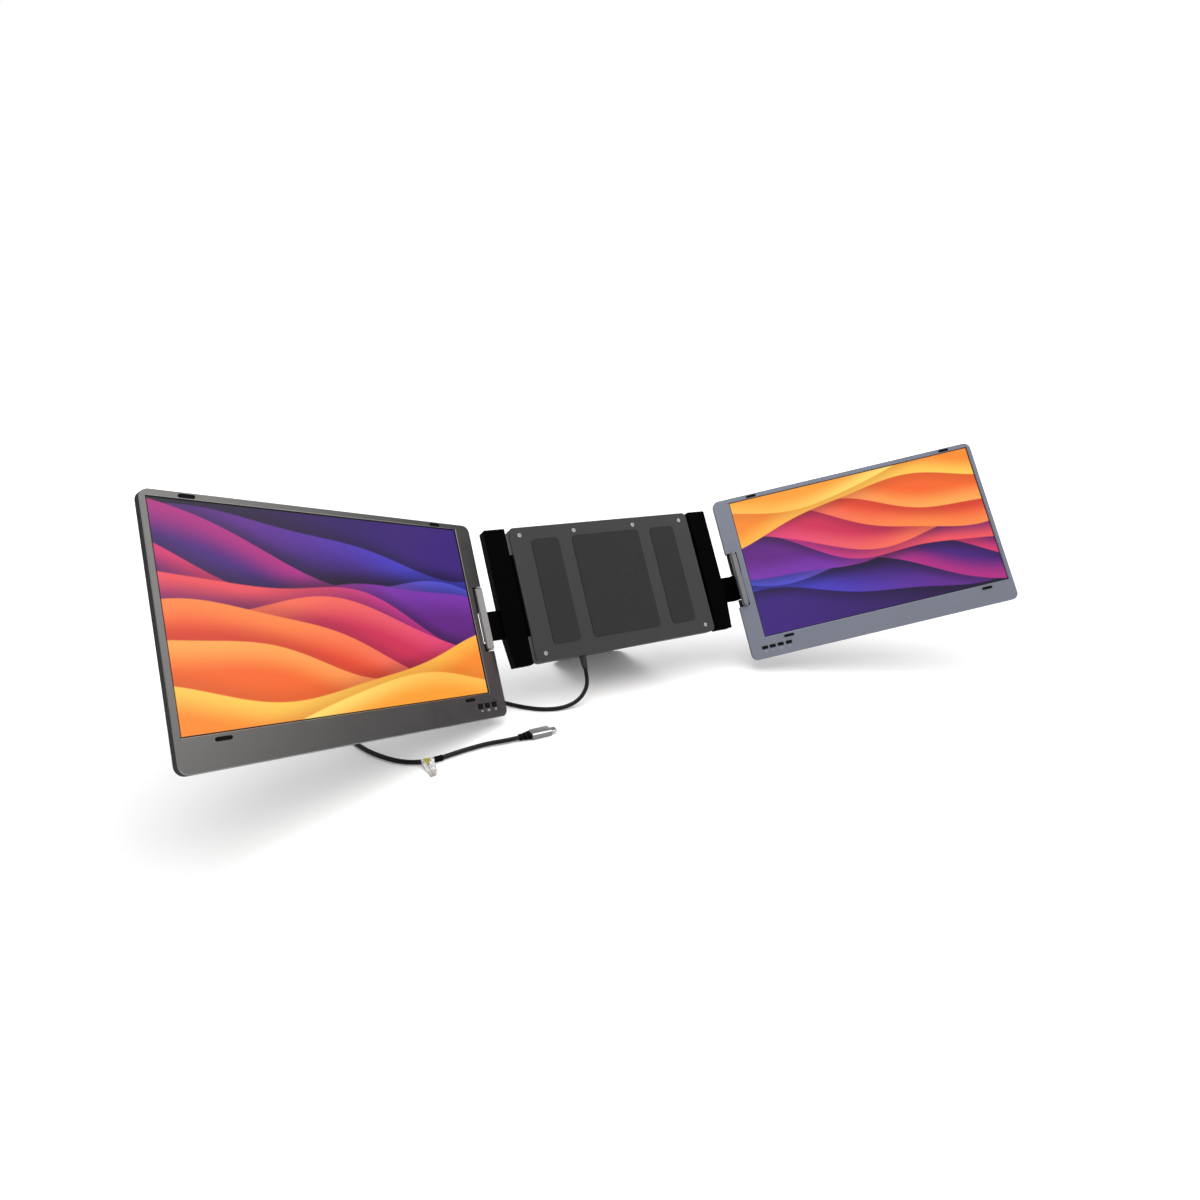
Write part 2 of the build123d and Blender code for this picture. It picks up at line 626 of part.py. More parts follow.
def wing_outline(inset):
    """The wing block's outline with its slanted lower corner, moved in by inset."""
    x0, x1 = WING_INNER + inset, WING_END - inset
    z0, z1 = -BRACKET_BOTTOM + inset, BRACKET_TOP - inset
    across, up = WING_TAPER
    outline = Polyline((x0, z0), (x1 - across, z0), (x1, z0 + up), (x1, z1), (x0, z1), close=True)
    return make_face(outline)


def wing():
    """Wing: a tray at the lid's edge on a tongue that slides in the bracket."""
    body = slab(wing_outline(0), PLATE_FRONT + WING_COVER_THICK, CORE_BACK)
    top = body.edges().filter_by(Axis.Y).sort_by(lambda e: -(e @ 0.5).X - (e @ 0.5).Z)[0]
    body = fillet(top, WING_CORNER)
    body = chamfer(body.edges().group_by(Axis.Y)[-1], BRACKET_EDGE)
    body -= slab(wing_outline(BRACKET_WALL), PLATE_FRONT, CORE_INSIDE)
    tongue = rounded((TONGUE_INNER, WING_INNER + BRACKET_WALL), (-TONGUE_HALF, TONGUE_HALF), TONGUE_CORNER)
    tongue = slab(tongue, TONGUE_FRONT, TONGUE_BACK)
    slot = 2 * (SHOULDER_R + SHOULDER_FIT)
    run = SlotOverall(WING_IN + WING_OUT + slot, slot)
    for z in (-GUIDE_UP, GUIDE_UP):
        middle = GUIDE_X + (WING_IN - WING_OUT) / 2
        tongue -= slab(Pos(middle, z) * run, TONGUE_FRONT - PAST, TONGUE_BACK + PAST)
    body += tongue
    for x, z in arm_screw_places():
        body += rod(x, z, BOSS_R, ARM_FRONT + ARM_THICK, CORE_INSIDE + BITE)
        body -= rod(x, z, ARM_SCREW_R, ARM_FRONT, CORE_INSIDE)
    return body - block((WING_END - BRACKET_WALL - PAST, WING_END + PAST), (ARM_FRONT, ARM_FRONT + ARM_THICK),
                        (ARM_MID - ARM_HEIGHT / 2, ARM_MID + ARM_HEIGHT / 2))


def wing_cover():
    """Plate that closes the wing on the lid's side."""
    body = slab(wing_outline(0), PLATE_FRONT, PLATE_FRONT + WING_COVER_THICK)
    top = body.edges().filter_by(Axis.Y).sort_by(lambda e: -(e @ 0.5).X - (e @ 0.5).Z)[0]
    return fillet(top, WING_CORNER)


def arm_screws():
    """Screws of the arm's root."""
    back = ARM_FRONT + ARM_THICK
    return group([rod(x, z, ARM_SCREW_R, ARM_FRONT, back + ARM_SCREW_PAST)
                  + rod(x, z, ARM_SCREW_HEAD_R, ARM_FRONT - ARM_SCREW_HEAD, ARM_FRONT)
                  for x, z in arm_screw_places()])


def make_wing(side):
    """Writes every piece that slides with one wing."""
    save(f"{side}_wing", sided(wing(), side))
    save(f"{side}_wing_cover", sided(wing_cover(), side))
    save(f"{side}_arm", sided(arm(side), side))
    save(f"{side}_arm_screws", sided(arm_screws(), side))
    save(f"{side}_hinge_barrel", sided(hinge_barrel(side), side))


# ---- bracket core ----
def core_outline(inset):
    """The bracket core's outline, moved in by inset."""
    return rounded((-CORE_HALF + inset, CORE_HALF - inset), (-BRACKET_BOTTOM + inset, BRACKET_TOP - inset),
                   max(BRACKET_CORNER - inset, 0.5))


def mat_face(x, wide):
    """Outline of one grip mat."""
    return Pos(x, 0) * RectangleRounded(wide, MAT_HEIGHT, MAT_CORNER)


def magnet_places():
    """Middles of the four magnets."""
    return [(x, z) for x in (-MAT_SIDE_X, MAT_SIDE_X) for z in (-MAGNET_UP, MAGNET_UP)]


def plate_screw_places():
    """Screws at the corners and along the top."""
    x, top = CORE_HALF - PLATE_SCREW_IN, BRACKET_TOP - PLATE_SCREW_EDGE
    low = -BRACKET_BOTTOM + PLATE_SCREW_EDGE
    return [(x, top), (-x, top), (x, low), (-x, low), (PLATE_SCREW_MIDDLE, top), (-PLATE_SCREW_MIDDLE, top)]


def guide_places():
    """Middles of the four guide screws."""
    return [(x, z) for x in (-GUIDE_X, GUIDE_X) for z in (-GUIDE_UP, GUIDE_UP)]


def front_plate():
    """Plate against the lid, with seats for the mats and pockets for the magnets."""
    body = slab(core_outline(0), PLATE_FRONT, PLATE_BACK)
    for x, wide in MATS:
        body -= slab(mat_face(x, wide), PLATE_FRONT - PAST, PLATE_FRONT + MAT_SEAT)
    for x, z in magnet_places():
        body -= rod(x, z, MAGNET_R, PLATE_BACK - MAGNET_THICK, PLATE_BACK + PAST)
    for x, z in plate_screw_places():
        body -= rod(x, z, PLATE_SHANK_R, PLATE_FRONT - PAST, PLATE_BACK + PAST)
        body -= rod(x, z, PLATE_HEAD_R, PLATE_FRONT - PAST, PLATE_FRONT + PLATE_HEAD)
    return body


def leg_length():
    """Pivot to foot, so that the open leg reaches the table at the rest tilt."""
    pivot = leaned(0, PIVOT_BACK, PIVOT_Z)[2]
    return (TABLE_DROP + pivot - FOOT_R) / math.sin(math.radians(TILT))


def leg_pocket(grow, y0, y1):
    """The space that the folded leg lies in, grown by grow."""
    half = LEG_HALF + POCKET_GAP + grow
    low = PIVOT_Z - LEG_KNUCKLE_R - POCKET_GAP - grow
    high = PIVOT_Z + leg_length() + FOOT_R + POCKET_GAP + grow
    return block((-half, half), (y0, y1), (low, high))


def core_cover():
    """Rear shell of the bracket: bosses, rails for the wings and the kickstand's pocket."""
    body = slab(core_outline(0), PLATE_BACK, CORE_BACK)
    body = chamfer(body.edges().group_by(Axis.Y)[-1], BRACKET_EDGE)
    body -= slab(core_outline(BRACKET_WALL), PLATE_BACK - PAST, CORE_INSIDE)
    for x, z in plate_screw_places():
        body += rod(x, z, BOSS_R, PLATE_BACK, CORE_INSIDE + BITE)
    for x, z in guide_places():
        body += rod(x, z, BOSS_R, TONGUE_BACK + TONGUE_GAP, CORE_INSIDE + BITE)
    rail_x = (CORE_HALF - RAIL_LENGTH, CORE_HALF - BRACKET_WALL + BITE)
    rail_z = (TONGUE_HALF + TONGUE_GAP, TONGUE_HALF + TONGUE_GAP + RAIL)
    for i in (-1, 1):
        for j in (-1, 1):
            body += block(sorted((i * rail_x[0], i * rail_x[1])), (TONGUE_FRONT - PAST, CORE_INSIDE + BITE),
                          sorted((j * rail_z[0], j * rail_z[1])))
        wall = sorted((i * (CORE_HALF - BRACKET_WALL - PAST), i * (CORE_HALF + PAST)))
        body -= block(wall, (TONGUE_FRONT - TONGUE_GAP, TONGUE_BACK + TONGUE_GAP),
                      (-TONGUE_HALF - TONGUE_GAP, TONGUE_HALF + TONGUE_GAP))
        body += block(sorted((i * (LEG_HALF + POCKET_GAP), i * (LEG_HALF + POCKET_GAP + LEG_EAR))),
                      (POCKET_FLOOR - POCKET_WALL, CORE_INSIDE + BITE),
                      (PIVOT_Z - LEG_EAR_HALF, PIVOT_Z + LEG_EAR_HALF))
    board_z = -BRACKET_BOTTOM + BOARD_BOTTOM_GAP + BOARD_TALL / 2
    for x in (BOARD_X[0] + BOARD_POST_AT, BOARD_X[1] - BOARD_POST_AT):
        body += rod(x, board_z, BOARD_POST_R, BOARD_FRONT + BOARD_THICK, CORE_INSIDE + BITE)
    body += leg_pocket(POCKET_WALL, POCKET_FLOOR - POCKET_WALL, CORE_INSIDE + BITE)
    body -= leg_pocket(0, POCKET_FLOOR, CORE_BACK + PAST)
    body -= leg_pin_rod(LEG_PIN_R)
    for x, z in plate_screw_places():
        body -= rod(x, z, PLATE_SHANK_R, PLATE_BACK - PAST, PLATE_FRONT + PLATE_HEAD + PLATE_SCREW_LENGTH)
    for x, z in guide_places():
        body -= rod(x, z, SCREW_SHANK_R, TONGUE_BACK, TONGUE_BACK + TONGUE_GAP + GUIDE_THREAD)
    return body - Pos(GLAND_X, GLAND_BACK, -BRACKET_BOTTOM) * Cylinder(GLAND_R, 4 * BRACKET_WALL)


def grip_mats():
    """Silicone mats that lie on the lid."""
    return group([slab(mat_face(x, wide), 0, PLATE_FRONT + MAT_SEAT) for x, wide in MATS])


def lid_magnets():
    """Disc magnets behind the side mats."""
    return group([rod(x, z, MAGNET_R, PLATE_BACK - MAGNET_THICK, PLATE_BACK) for x, z in magnet_places()])


def plate_screws():
    """Screws through the front plate into the rear shell."""
    under = PLATE_FRONT + PLATE_HEAD
    tip = under + PLATE_SCREW_LENGTH
    return group([rod(x, z, PLATE_HEAD_R, PLATE_FRONT, under) + rod(x, z, PLATE_SHANK_R, under, tip)
                  for x, z in plate_screw_places()])


def guide_screws():
    """Shoulder screws that the wings' slots slide on."""
    under = TONGUE_FRONT - TONGUE_GAP
    seat = TONGUE_BACK + TONGUE_GAP
    return group([rod(x, z, GUIDE_HEAD_R, under - GUIDE_HEAD, under) + rod(x, z, SHOULDER_R, under, seat)
                  + rod(x, z, SCREW_SHANK_R, seat, seat + GUIDE_THREAD) for x, z in guide_places()])


def controller_board():
    """Board that splits the laptop's signal for the two screens."""
    low = -BRACKET_BOTTOM + BOARD_BOTTOM_GAP
    body = block(BOARD_X, (BOARD_FRONT, BOARD_FRONT + BOARD_THICK), (low, low + BOARD_TALL))
    middle = (BOARD_X[0] + BOARD_X[1]) / 2
    chip_low = low + (BOARD_TALL - MAIN_CHIP) / 2
    return body + block((middle - MAIN_CHIP / 2, middle + MAIN_CHIP / 2),
                        (BOARD_FRONT - CHIP_THICK, BOARD_FRONT), (chip_low, chip_low + MAIN_CHIP))


def leg_pin_rod(radius):
    """A rod on the kickstand's pivot, as long as its pin."""
    half = LEG_HALF + POCKET_GAP + LEG_PIN_IN
    return Pos(0, PIVOT_BACK, PIVOT_Z) * Rot(0, 90, 0) * Cylinder(radius, 2 * half)


def kickstand():
    """The leg, opened square to the bracket."""
    end = PIVOT_BACK + leg_length() - 1.0
    tip = end - LEG_CORNER
    low, high = PIVOT_Z - LEG_THICK / 2, PIVOT_Z + LEG_THICK / 2
    sheet = block((-LEG_HALF, LEG_HALF), (PIVOT_BACK, tip), (low, high))
    plate_face = RectangleRounded(2 * LEG_HALF, end - PIVOT_BACK, LEG_CORNER)
    rounded_end = Pos(0, (PIVOT_BACK + end) / 2, low) * extrude(plate_face, LEG_THICK)
    body = sheet + rounded_end
    body += Pos(0, PIVOT_BACK, PIVOT_Z) * Rot(0, 90, 0) * Cylinder(LEG_KNUCKLE_R, 2 * LEG_HALF)
    return body - leg_pin_rod(LEG_PIN_R + LEG_PIN_FIT)


def kickstand_foot():
    """Rubber edge on the leg's end."""
    end = PIVOT_BACK + leg_length()
    body = block((-FOOT_HALF, FOOT_HALF), (end - FOOT_GRIP, end), (PIVOT_Z - FOOT_R, PIVOT_Z + FOOT_R))
    body += Pos(0, end, PIVOT_Z) * Rot(0, 90, 0) * Cylinder(FOOT_R, 2 * FOOT_HALF)
    return body - kickstand()


def cable_gland():
    """Strain relief where the lead leaves the bracket's lower edge."""
    inside = -BRACKET_BOTTOM + BRACKET_WALL
    at = Pos(GLAND_X, GLAND_BACK, 0)
    body = at * upright(GLAND_R, -BRACKET_BOTTOM, inside)
    reach = (GLAND_X - GLAND_FLANGE_R, GLAND_X + GLAND_FLANGE_R)
    body += (at * upright(GLAND_FLANGE_R, inside, inside + GLAND_FLANGE)
             & block(reach, (PLATE_BACK, CORE_INSIDE), (inside, inside + GLAND_FLANGE)))
    taper = Pos(GLAND_X, GLAND_BACK, -BRACKET_BOTTOM - GLAND_LENGTH / 2) * Rot(180, 0, 0)
    return body + taper * Cone(GLAND_R, GLAND_TIP_R, GLAND_LENGTH)


def make_bracket():
    """Writes every piece of the bracket's core and its kickstand."""
    save("bracket_front_plate", lean(front_plate()))
    save("bracket_back_cover", lean(core_cover()))
    save("grip_mats", lean(grip_mats()))
    save("lid_magnets", lean(lid_magnets()))
    save("plate_screws", lean(plate_screws()))
    save("wing_guide_screws", lean(guide_screws()))
    save("controller_board", lean(controller_board()))
    save("kickstand", lean(kickstand()))
    save("kickstand_pin", lean(leg_pin_rod(LEG_PIN_R)))
    save("kickstand_foot", lean(kickstand_foot()))
    save("cable_gland", lean(cable_gland()))


# ---- lead ----
def route():
    """The lead's route, from the gland to the plug, each point with the height it lies at."""
    start = Vector(*leaned(GLAND_X, GLAND_BACK, -BRACKET_BOTTOM - GLAND_LENGTH))
    second = Vector(*leaned(GLAND_X, GLAND_BACK, -BRACKET_BOTTOM - GLAND_LENGTH - CORD_START))
    middle = [Vector(x, y, height + CORD_R - TABLE_DROP) for x, y, height in CORD_ROUTE]
    plug = Vector(*PLUG_AT, PLUG_TALL / 2 - TABLE_DROP)
    return [start, second, *middle, plug - Vector(CORD_FINISH, 0, 0), plug]


def cord_path(points):
    """Straight runs joined by tangent arcs, each as large as its two runs allow."""
    runs = [b - a for a, b in zip(points, points[1:])]
    radii = [CORD_SHARE * min(a.length, b.length) / math.tan(math.radians(a.get_angle(b) / 2))
             for a, b in zip(runs, runs[1:])]
    return FilletPolyline(*points, radius=radii), radii


def tube(path, radius):
    """A round solid along a path."""
    return sweep(Plane(origin=path @ 0, z_dir=path % 0) * Circle(radius), path)


def usb_cable(points):
    """The lead itself, one tube."""
    path, radii = cord_path(points)
    body = tube(path, CORD_R)
    print("lead radii", [round(radius, 1) for radius in radii])
    print("lead length", round(path.length, 1), "volume ratio",
          round(body.volume / (math.pi * CORD_R ** 2 * path.length), 4))
    return body


def ring_on_cord(points, number, wall, length):
    """A tight ring round the lead at the middle of one run, following its bends."""
    path, _ = cord_path(points[number - 1:number + 3])
    a, b = points[number], points[number + 1]
    zone = Plane(origin=(a + b) * 0.5, z_dir=b - a) * Box(6 * CORD_R, 6 * CORD_R, length)
    return (tube(path, CORD_R + wall) & zone) - tube(path, CORD_R)


def cable_sleeve(points):
    """Short thicker sleeve on the lead beside the tag."""
    return ring_on_cord(points, SLEEVE_RUN, SLEEVE_WALL, SLEEVE_LENGTH)


def on_tag(points, outline, low, high):
    """A flat piece of the tag, from an outline in its own frame: the lead's middle at y 0."""
    middle = (points[TAG_RUN] + points[TAG_RUN + 1]) * 0.5
    at = Pos(middle.X, middle.Y, low - TABLE_DROP) * Rot(0, 0, TAG_TURN)
    return at * extrude(make_face(Polyline(*outline, close=True)), high - low)


def cable_tag(points):
    """Clear film folded round the lead and lying on the table in front of it."""
    start = CORD_R + TAG_THICK / 2
    outline = ((-TAG_WIDTH / 2, -start), (TAG_WIDTH / 2, -start),
               (TAG_END / 2, -start - TAG_REACH), (-TAG_END / 2, -start - TAG_REACH))
    flat = on_tag(points, outline, 0, TAG_THICK)
    return ring_on_cord(points, TAG_RUN, TAG_THICK, TAG_WIDTH) + flat


def tag_insert(points):
    """Pointed coloured slip on the folded tag."""
    start, end = (-CORD_R - reach for reach in INSERT_SPAN)
    outline = ((-INSERT_WIDTH / 2, start), (INSERT_WIDTH / 2, start), (0, end))
    return on_tag(points, outline, TAG_THICK, TAG_THICK + INSERT_THICK)


def plug_piece(x0, x1, wide, tall, corner):
    """A rounded bar along x, centred on the plug's axis."""
    section = Plane.YZ * RectangleRounded(wide, tall, corner)
    middle = PLUG_TALL / 2 - TABLE_DROP
    return Pos(PLUG_AT[0] + x0, PLUG_AT[1], middle) * extrude(section, x1 - x0)


def relief_length():
    """Length of the plug's strain relief."""
    return sum(step[0] for step in RELIEF_STEPS)


def plug_relief():
    """Stepped strain relief of the plug."""
    body, x = None, 0.0
    for length, wide, tall in RELIEF_STEPS:
        piece = plug_piece(x, x + length, wide, tall, 0.4 * tall)
        body = piece if body is None else body + piece
        x += length
    return body


def plug_tip():
    """The metal tongue end that goes into the laptop."""
    x = relief_length() + PLUG_LENGTH
    body = plug_piece(x, x + TIP_LENGTH, TIP_WIDTH, TIP_TALL, 0.45 * TIP_TALL)
    wide, tall = TIP_WIDTH - 2 * TIP_WALL, TIP_TALL - 2 * TIP_WALL
    return body - plug_piece(x + TIP_LENGTH - TIP_DEEP, x + TIP_LENGTH + PAST, wide, tall, 0.45 * tall)


def make_lead():
    """Writes the lead and what is on it."""
    points = route()
    x = relief_length()
    save("usb_cable", usb_cable(points))
    save("cable_sleeve", cable_sleeve(points))
    save("cable_tag", cable_tag(points))
    save("tag_insert", tag_insert(points))
    save("plug_relief", plug_relief())
    save("plug_shell", plug_piece(x, x + PLUG_LENGTH, PLUG_WIDTH, PLUG_TALL, PLUG_CORNER))
    save("plug_tip", plug_tip())


for each_side in MIRROR:
    make_panel(each_side)
    make_wing(each_side)
make_bracket()
make_lead()
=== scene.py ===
import logging
import math
from dataclasses import dataclass, field
from enum import Enum
from functools import reduce
from typing import Any, Callable, Sequence

import bpy
import numpy as np
from mathutils import Matrix, Vector


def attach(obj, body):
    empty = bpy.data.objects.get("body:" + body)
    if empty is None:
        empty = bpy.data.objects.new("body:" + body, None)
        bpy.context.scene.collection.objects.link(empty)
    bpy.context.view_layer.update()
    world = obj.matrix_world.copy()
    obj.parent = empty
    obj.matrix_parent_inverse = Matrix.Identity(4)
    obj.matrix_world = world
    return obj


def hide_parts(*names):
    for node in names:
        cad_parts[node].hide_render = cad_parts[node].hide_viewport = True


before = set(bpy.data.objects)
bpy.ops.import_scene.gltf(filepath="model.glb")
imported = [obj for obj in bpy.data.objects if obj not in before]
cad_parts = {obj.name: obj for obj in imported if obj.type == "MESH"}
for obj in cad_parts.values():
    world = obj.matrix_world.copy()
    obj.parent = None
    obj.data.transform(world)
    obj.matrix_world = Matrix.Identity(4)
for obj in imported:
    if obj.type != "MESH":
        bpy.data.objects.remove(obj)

LOG = logging.getLogger("screen_extender")
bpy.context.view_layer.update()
MM = 0.001
PER_METRE = 1000.0

Triple = tuple[float, float, float]
Row = tuple[float, float, float, float]
Skin = tuple[np.ndarray, list[tuple[int, ...]]]

BLACK = (0.0, 0.0, 0.0)
WHITE = (1.0, 1.0, 1.0)
RIGHTWARDS = (1.0, 0.0, 0.0)
UPWARDS = (0.0, 0.0, 1.0)


class Side(Enum):
    """One of the two screens."""

    LEFT = "left"
    RIGHT = "right"

    @property
    def sign(self) -> int:
        """-1 for the left and 1 for the right."""
        return -1 if self is Side.LEFT else 1


class Sign(Enum):
    """A small sign printed under a button."""

    MINUS = "minus"
    MENU = "menu"
    PLUS = "plus"
    RING = "ring"


# ---- shader trees ----
def maths(operation: str, flip: bool = False) -> Callable[..., "Signal"]:
    """Makes an operator of Signal, which adds one Math node and returns the node's result.

    Args:
        operation: the node's operation.
        flip: takes the operands in reverse, for the reflected operators.

    Returns:
        The method: it takes the signal itself and further signals or numbers.
    """

    def method(*operands: "Signal | float") -> "Signal":
        """Adds the node."""
        ordered = operands[::-1] if flip else operands
        return operands[0].tree.add("ShaderNodeMath", {"operation": operation}, dict(enumerate(ordered)))[0]

    return method


class Signal:
    """A value that travels between shader nodes; arithmetic on it adds Math nodes."""

    def __init__(self, tree: "Tree", socket: bpy.types.NodeSocket) -> None:
        """Keeps the socket and the tree that new nodes go into."""
        self.tree = tree
        self.socket = socket

    __add__ = __radd__ = maths("ADD")
    __sub__ = maths("SUBTRACT")
    __rsub__ = maths("SUBTRACT", flip=True)
    __mul__ = __rmul__ = maths("MULTIPLY")
    __truediv__ = maths("DIVIDE")
    __rtruediv__ = maths("DIVIDE", flip=True)
    __abs__ = maths("ABSOLUTE")
    sine = maths("SINE")
    higher = maths("MAXIMUM")

    def ramp(self, low: float, high: float, start: float = 0.0, end: float = 1.0) -> "Signal":
        """A smooth step from start at low to end at high."""
        return self.tree.add(
            "ShaderNodeMapRange",
            {"interpolation_type": "SMOOTHSTEP"},
            {"Value": self, "From Min": low, "From Max": high, "To Min": start, "To Max": end},
        )[0]


class Tree:
    """A node tree that is being filled: a material's or the world's."""

    def __init__(self, owner: bpy.types.Material | bpy.types.World, output: str) -> None:
        """Empties the owner's tree and adds an output node of the given type."""
        owner.use_nodes = True
        self.owner = owner
        self.nodes = owner.node_tree.nodes
        self.links = owner.node_tree.links
        self.nodes.clear()
        self.output = self.nodes.new(output)

    @classmethod
    def material(cls, name: str) -> "Tree":
        """A new material's tree."""
        return cls(bpy.data.materials.new(name), "ShaderNodeOutputMaterial")

    @classmethod
    def world(cls, name: str) -> "Tree":
        """A new world's tree, with the world put in the scene."""
        bpy.context.scene.world = bpy.data.worlds.new(name)
        return cls(bpy.context.scene.world, "ShaderNodeOutputWorld")

    def add(
        self, kind: str, settings: dict[str, Any] | None = None, inputs: dict[Any, Any] | None = None
    ) -> list[Signal]:
        """Adds a node.

        Args:
            kind: the node's type.
            settings: its own properties.
            inputs: values or signals by socket name or number.

        Returns:
            The node's enabled outputs in order.
        """
        node = self.nodes.new(kind)
        for key, value in (settings or {}).items():
            setattr(node, key, value)
        for key, value in (inputs or {}).items():
            if isinstance(value, Signal):
                self.links.new(value.socket, node.inputs[key])
            else:
                node.inputs[key].default_value = value
        return [Signal(self, socket) for socket in node.outputs if socket.enabled]

    def mix(self, factor: "Signal | float", first: "Signal | Triple", second: "Signal | Triple") -> Signal:
        """Blends two colours by a factor."""
        one, two = (colour if isinstance(colour, Signal) else (*colour, 1.0) for colour in (first, second))
        return self.add("ShaderNodeMix", {"data_type": "RGBA"}, {0: factor, 6: one, 7: two})[0]

    def place(self) -> Signal:
        """The point's place on the object, in metres."""
        return self.add("ShaderNodeTexCoord")[3]

    def dot(self, way: Signal, direction: Triple) -> Signal:
        """The dot product of a vector with a fixed direction."""
        return self.add("ShaderNodeVectorMath", {"operation": "DOT_PRODUCT"}, {0: way, 1: direction})[0]

    def along(self, where: Signal, direction: Triple, start: float = 0.0) -> Signal:
        """How far a place lies along a direction, in millimetres, less a start."""
        return self.dot(where, direction) * PER_METRE - start

    def noise(self, where: Signal, scale: float, detail: float = 3.0, rough: float = 0.5) -> Signal:
        """Smooth noise from 0 to 1, with `scale` lumps in a unit of its place."""
        return self.add(
            "ShaderNodeTexNoise", {}, {"Vector": where, "Scale": scale, "Detail": detail, "Roughness": rough}
        )[0]

    def stretched(self, ways: Sequence[Signal | float], scale: float, detail: float, rough: float) -> Signal:
        """Noise in a space of its own, given by the three places along its axes."""
        space = self.add("ShaderNodeCombineXYZ", {}, dict(enumerate(ways)))[0]
        return self.noise(space, scale, detail, rough)

    def bump(self, height: Signal, strength: float, depth: float) -> Signal:
        """A normal from a height, with the depth in metres."""
        return self.add("ShaderNodeBump", {}, {"Height": height, "Strength": strength, "Distance": depth})[0]

    def end(self, shader: Signal) -> Any:
        """Links the last shader to the output, and returns the tree's owner."""
        self.links.new(shader.socket, self.output.inputs["Surface"])
        return self.owner

    def surface(self, inputs: dict[str, Any]) -> bpy.types.Material:
        """Ends a material's tree in a Principled shader, given its inputs by socket, _ for a space."""
        named = {key.replace("_", " "): value for key, value in inputs.items()}
        return self.end(self.add("ShaderNodeBsdfPrincipled", {}, named)[0])


def tone(red: float, green: float, blue: float) -> Triple:
    """Linear colour from screen values of 0 to 255, by the screen's own power curve."""
    share = np.array([red, green, blue]) / 255
    linear = np.where(share <= 0.04045, share / 12.92, ((share + 0.055) / 1.055) ** 2.4)
    return tuple(linear.tolist())


def shaded(colour: Triple, factor: float) -> Triple:
    """A colour made darker or lighter by a factor."""
    return tuple(part * factor for part in colour)


# ---- meshes ----
def placed(name: str, data: Any) -> bpy.types.Object:
    """A new object in the scene."""
    made = bpy.data.objects.new(name, data)
    bpy.context.collection.objects.link(made)
    return made


def unit(rows: np.ndarray) -> np.ndarray:
    """Rows of vectors, each made 1 long."""
    return rows / np.linalg.norm(rows, axis=1)[:, None]


def beside(ahead: np.ndarray) -> tuple[np.ndarray, np.ndarray]:
    """For each direction of a line, the level direction across it and the one that points up from it."""
    side = unit(np.cross(ahead, UPWARDS))
    return side, np.cross(side, unit(ahead))


def rounded_ring(wide: float, tall: float, corner: float, around: int = 8) -> np.ndarray:
    """Points round a rounded rectangle about its middle, as rows of two values."""
    turns = np.linspace(0.0, np.pi / 2, around)
    quarter = np.column_stack([np.cos(turns), np.sin(turns)]) * corner
    quarter += (wide / 2 - corner, tall / 2 - corner)
    flip = np.array([-1.0, 1.0])
    return np.concatenate([quarter, quarter[::-1] * flip, -quarter, quarter[::-1] * -flip])


def skin(rings: np.ndarray, capped: bool = True) -> Skin:
    """Joins rings of points into a skin.

    Args:
        rings: points in metres, by ring, place on the ring, and axis.
        capped: closes the first and the last ring with a face.

    Returns:
        The points, and the faces as rows of point numbers.
    """
    count, around, _ = rings.shape
    here = np.arange(count * around).reshape(count, around)
    after = np.roll(here, -1, axis=1)
    quads = np.stack([here[:-1], after[:-1], after[1:], here[1:]], axis=-1).reshape(-1, 4)
    faces = [tuple(quad) for quad in quads.tolist()]
    if capped:
        faces += [tuple(here[0, ::-1].tolist()), tuple(here[-1].tolist())]
    return rings.reshape(-1, 3), faces


def joined(skins: Sequence[Skin]) -> Skin:
    """Several skins as one, each with its faces' point numbers moved on."""
    faces: list[tuple[int, ...]] = []
    start = 0
    for points, own in skins:
        faces += [tuple(number + start for number in face) for face in own]
        start += len(points)
    return np.concatenate([points for points, _ in skins]), faces


@dataclass(frozen=True)
class Piece:
    """A new mesh piece that stands for a CAD node; edges over `sharp` degrees stay sharp."""

    name: str
    body: str
    node: str
    slot: str
    sharp: float = 32.0

    def build(self, shape: Skin, material: bpy.types.Material, rim: np.ndarray | None = None) -> None:
        """Makes the object, smooth except over sharp edges, puts it on its body and hides the CAD node it
        stands for.

        Args:
            shape: points in metres, and faces.
            material: the piece's material.
            rim: for each point, how close it lies to the piece's outline, for the material.
        """
        mesh = bpy.data.meshes.new(self.name)
        mesh.from_pydata(shape[0].tolist(), [], shape[1])
        if rim is not None:
            mesh.attributes.new("rim", "FLOAT", "POINT").data.foreach_set("value", rim)
        mesh.polygons.foreach_set("use_smooth", np.ones(len(mesh.polygons), dtype=bool))
        mesh.set_sharp_from_angle(angle=math.radians(self.sharp))
        mesh.materials.append(material)
        made = placed(self.name, mesh)
        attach(made, self.body)
        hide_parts(self.node)
        LOG.info("built %s with %d faces", self.name, len(mesh.polygons))


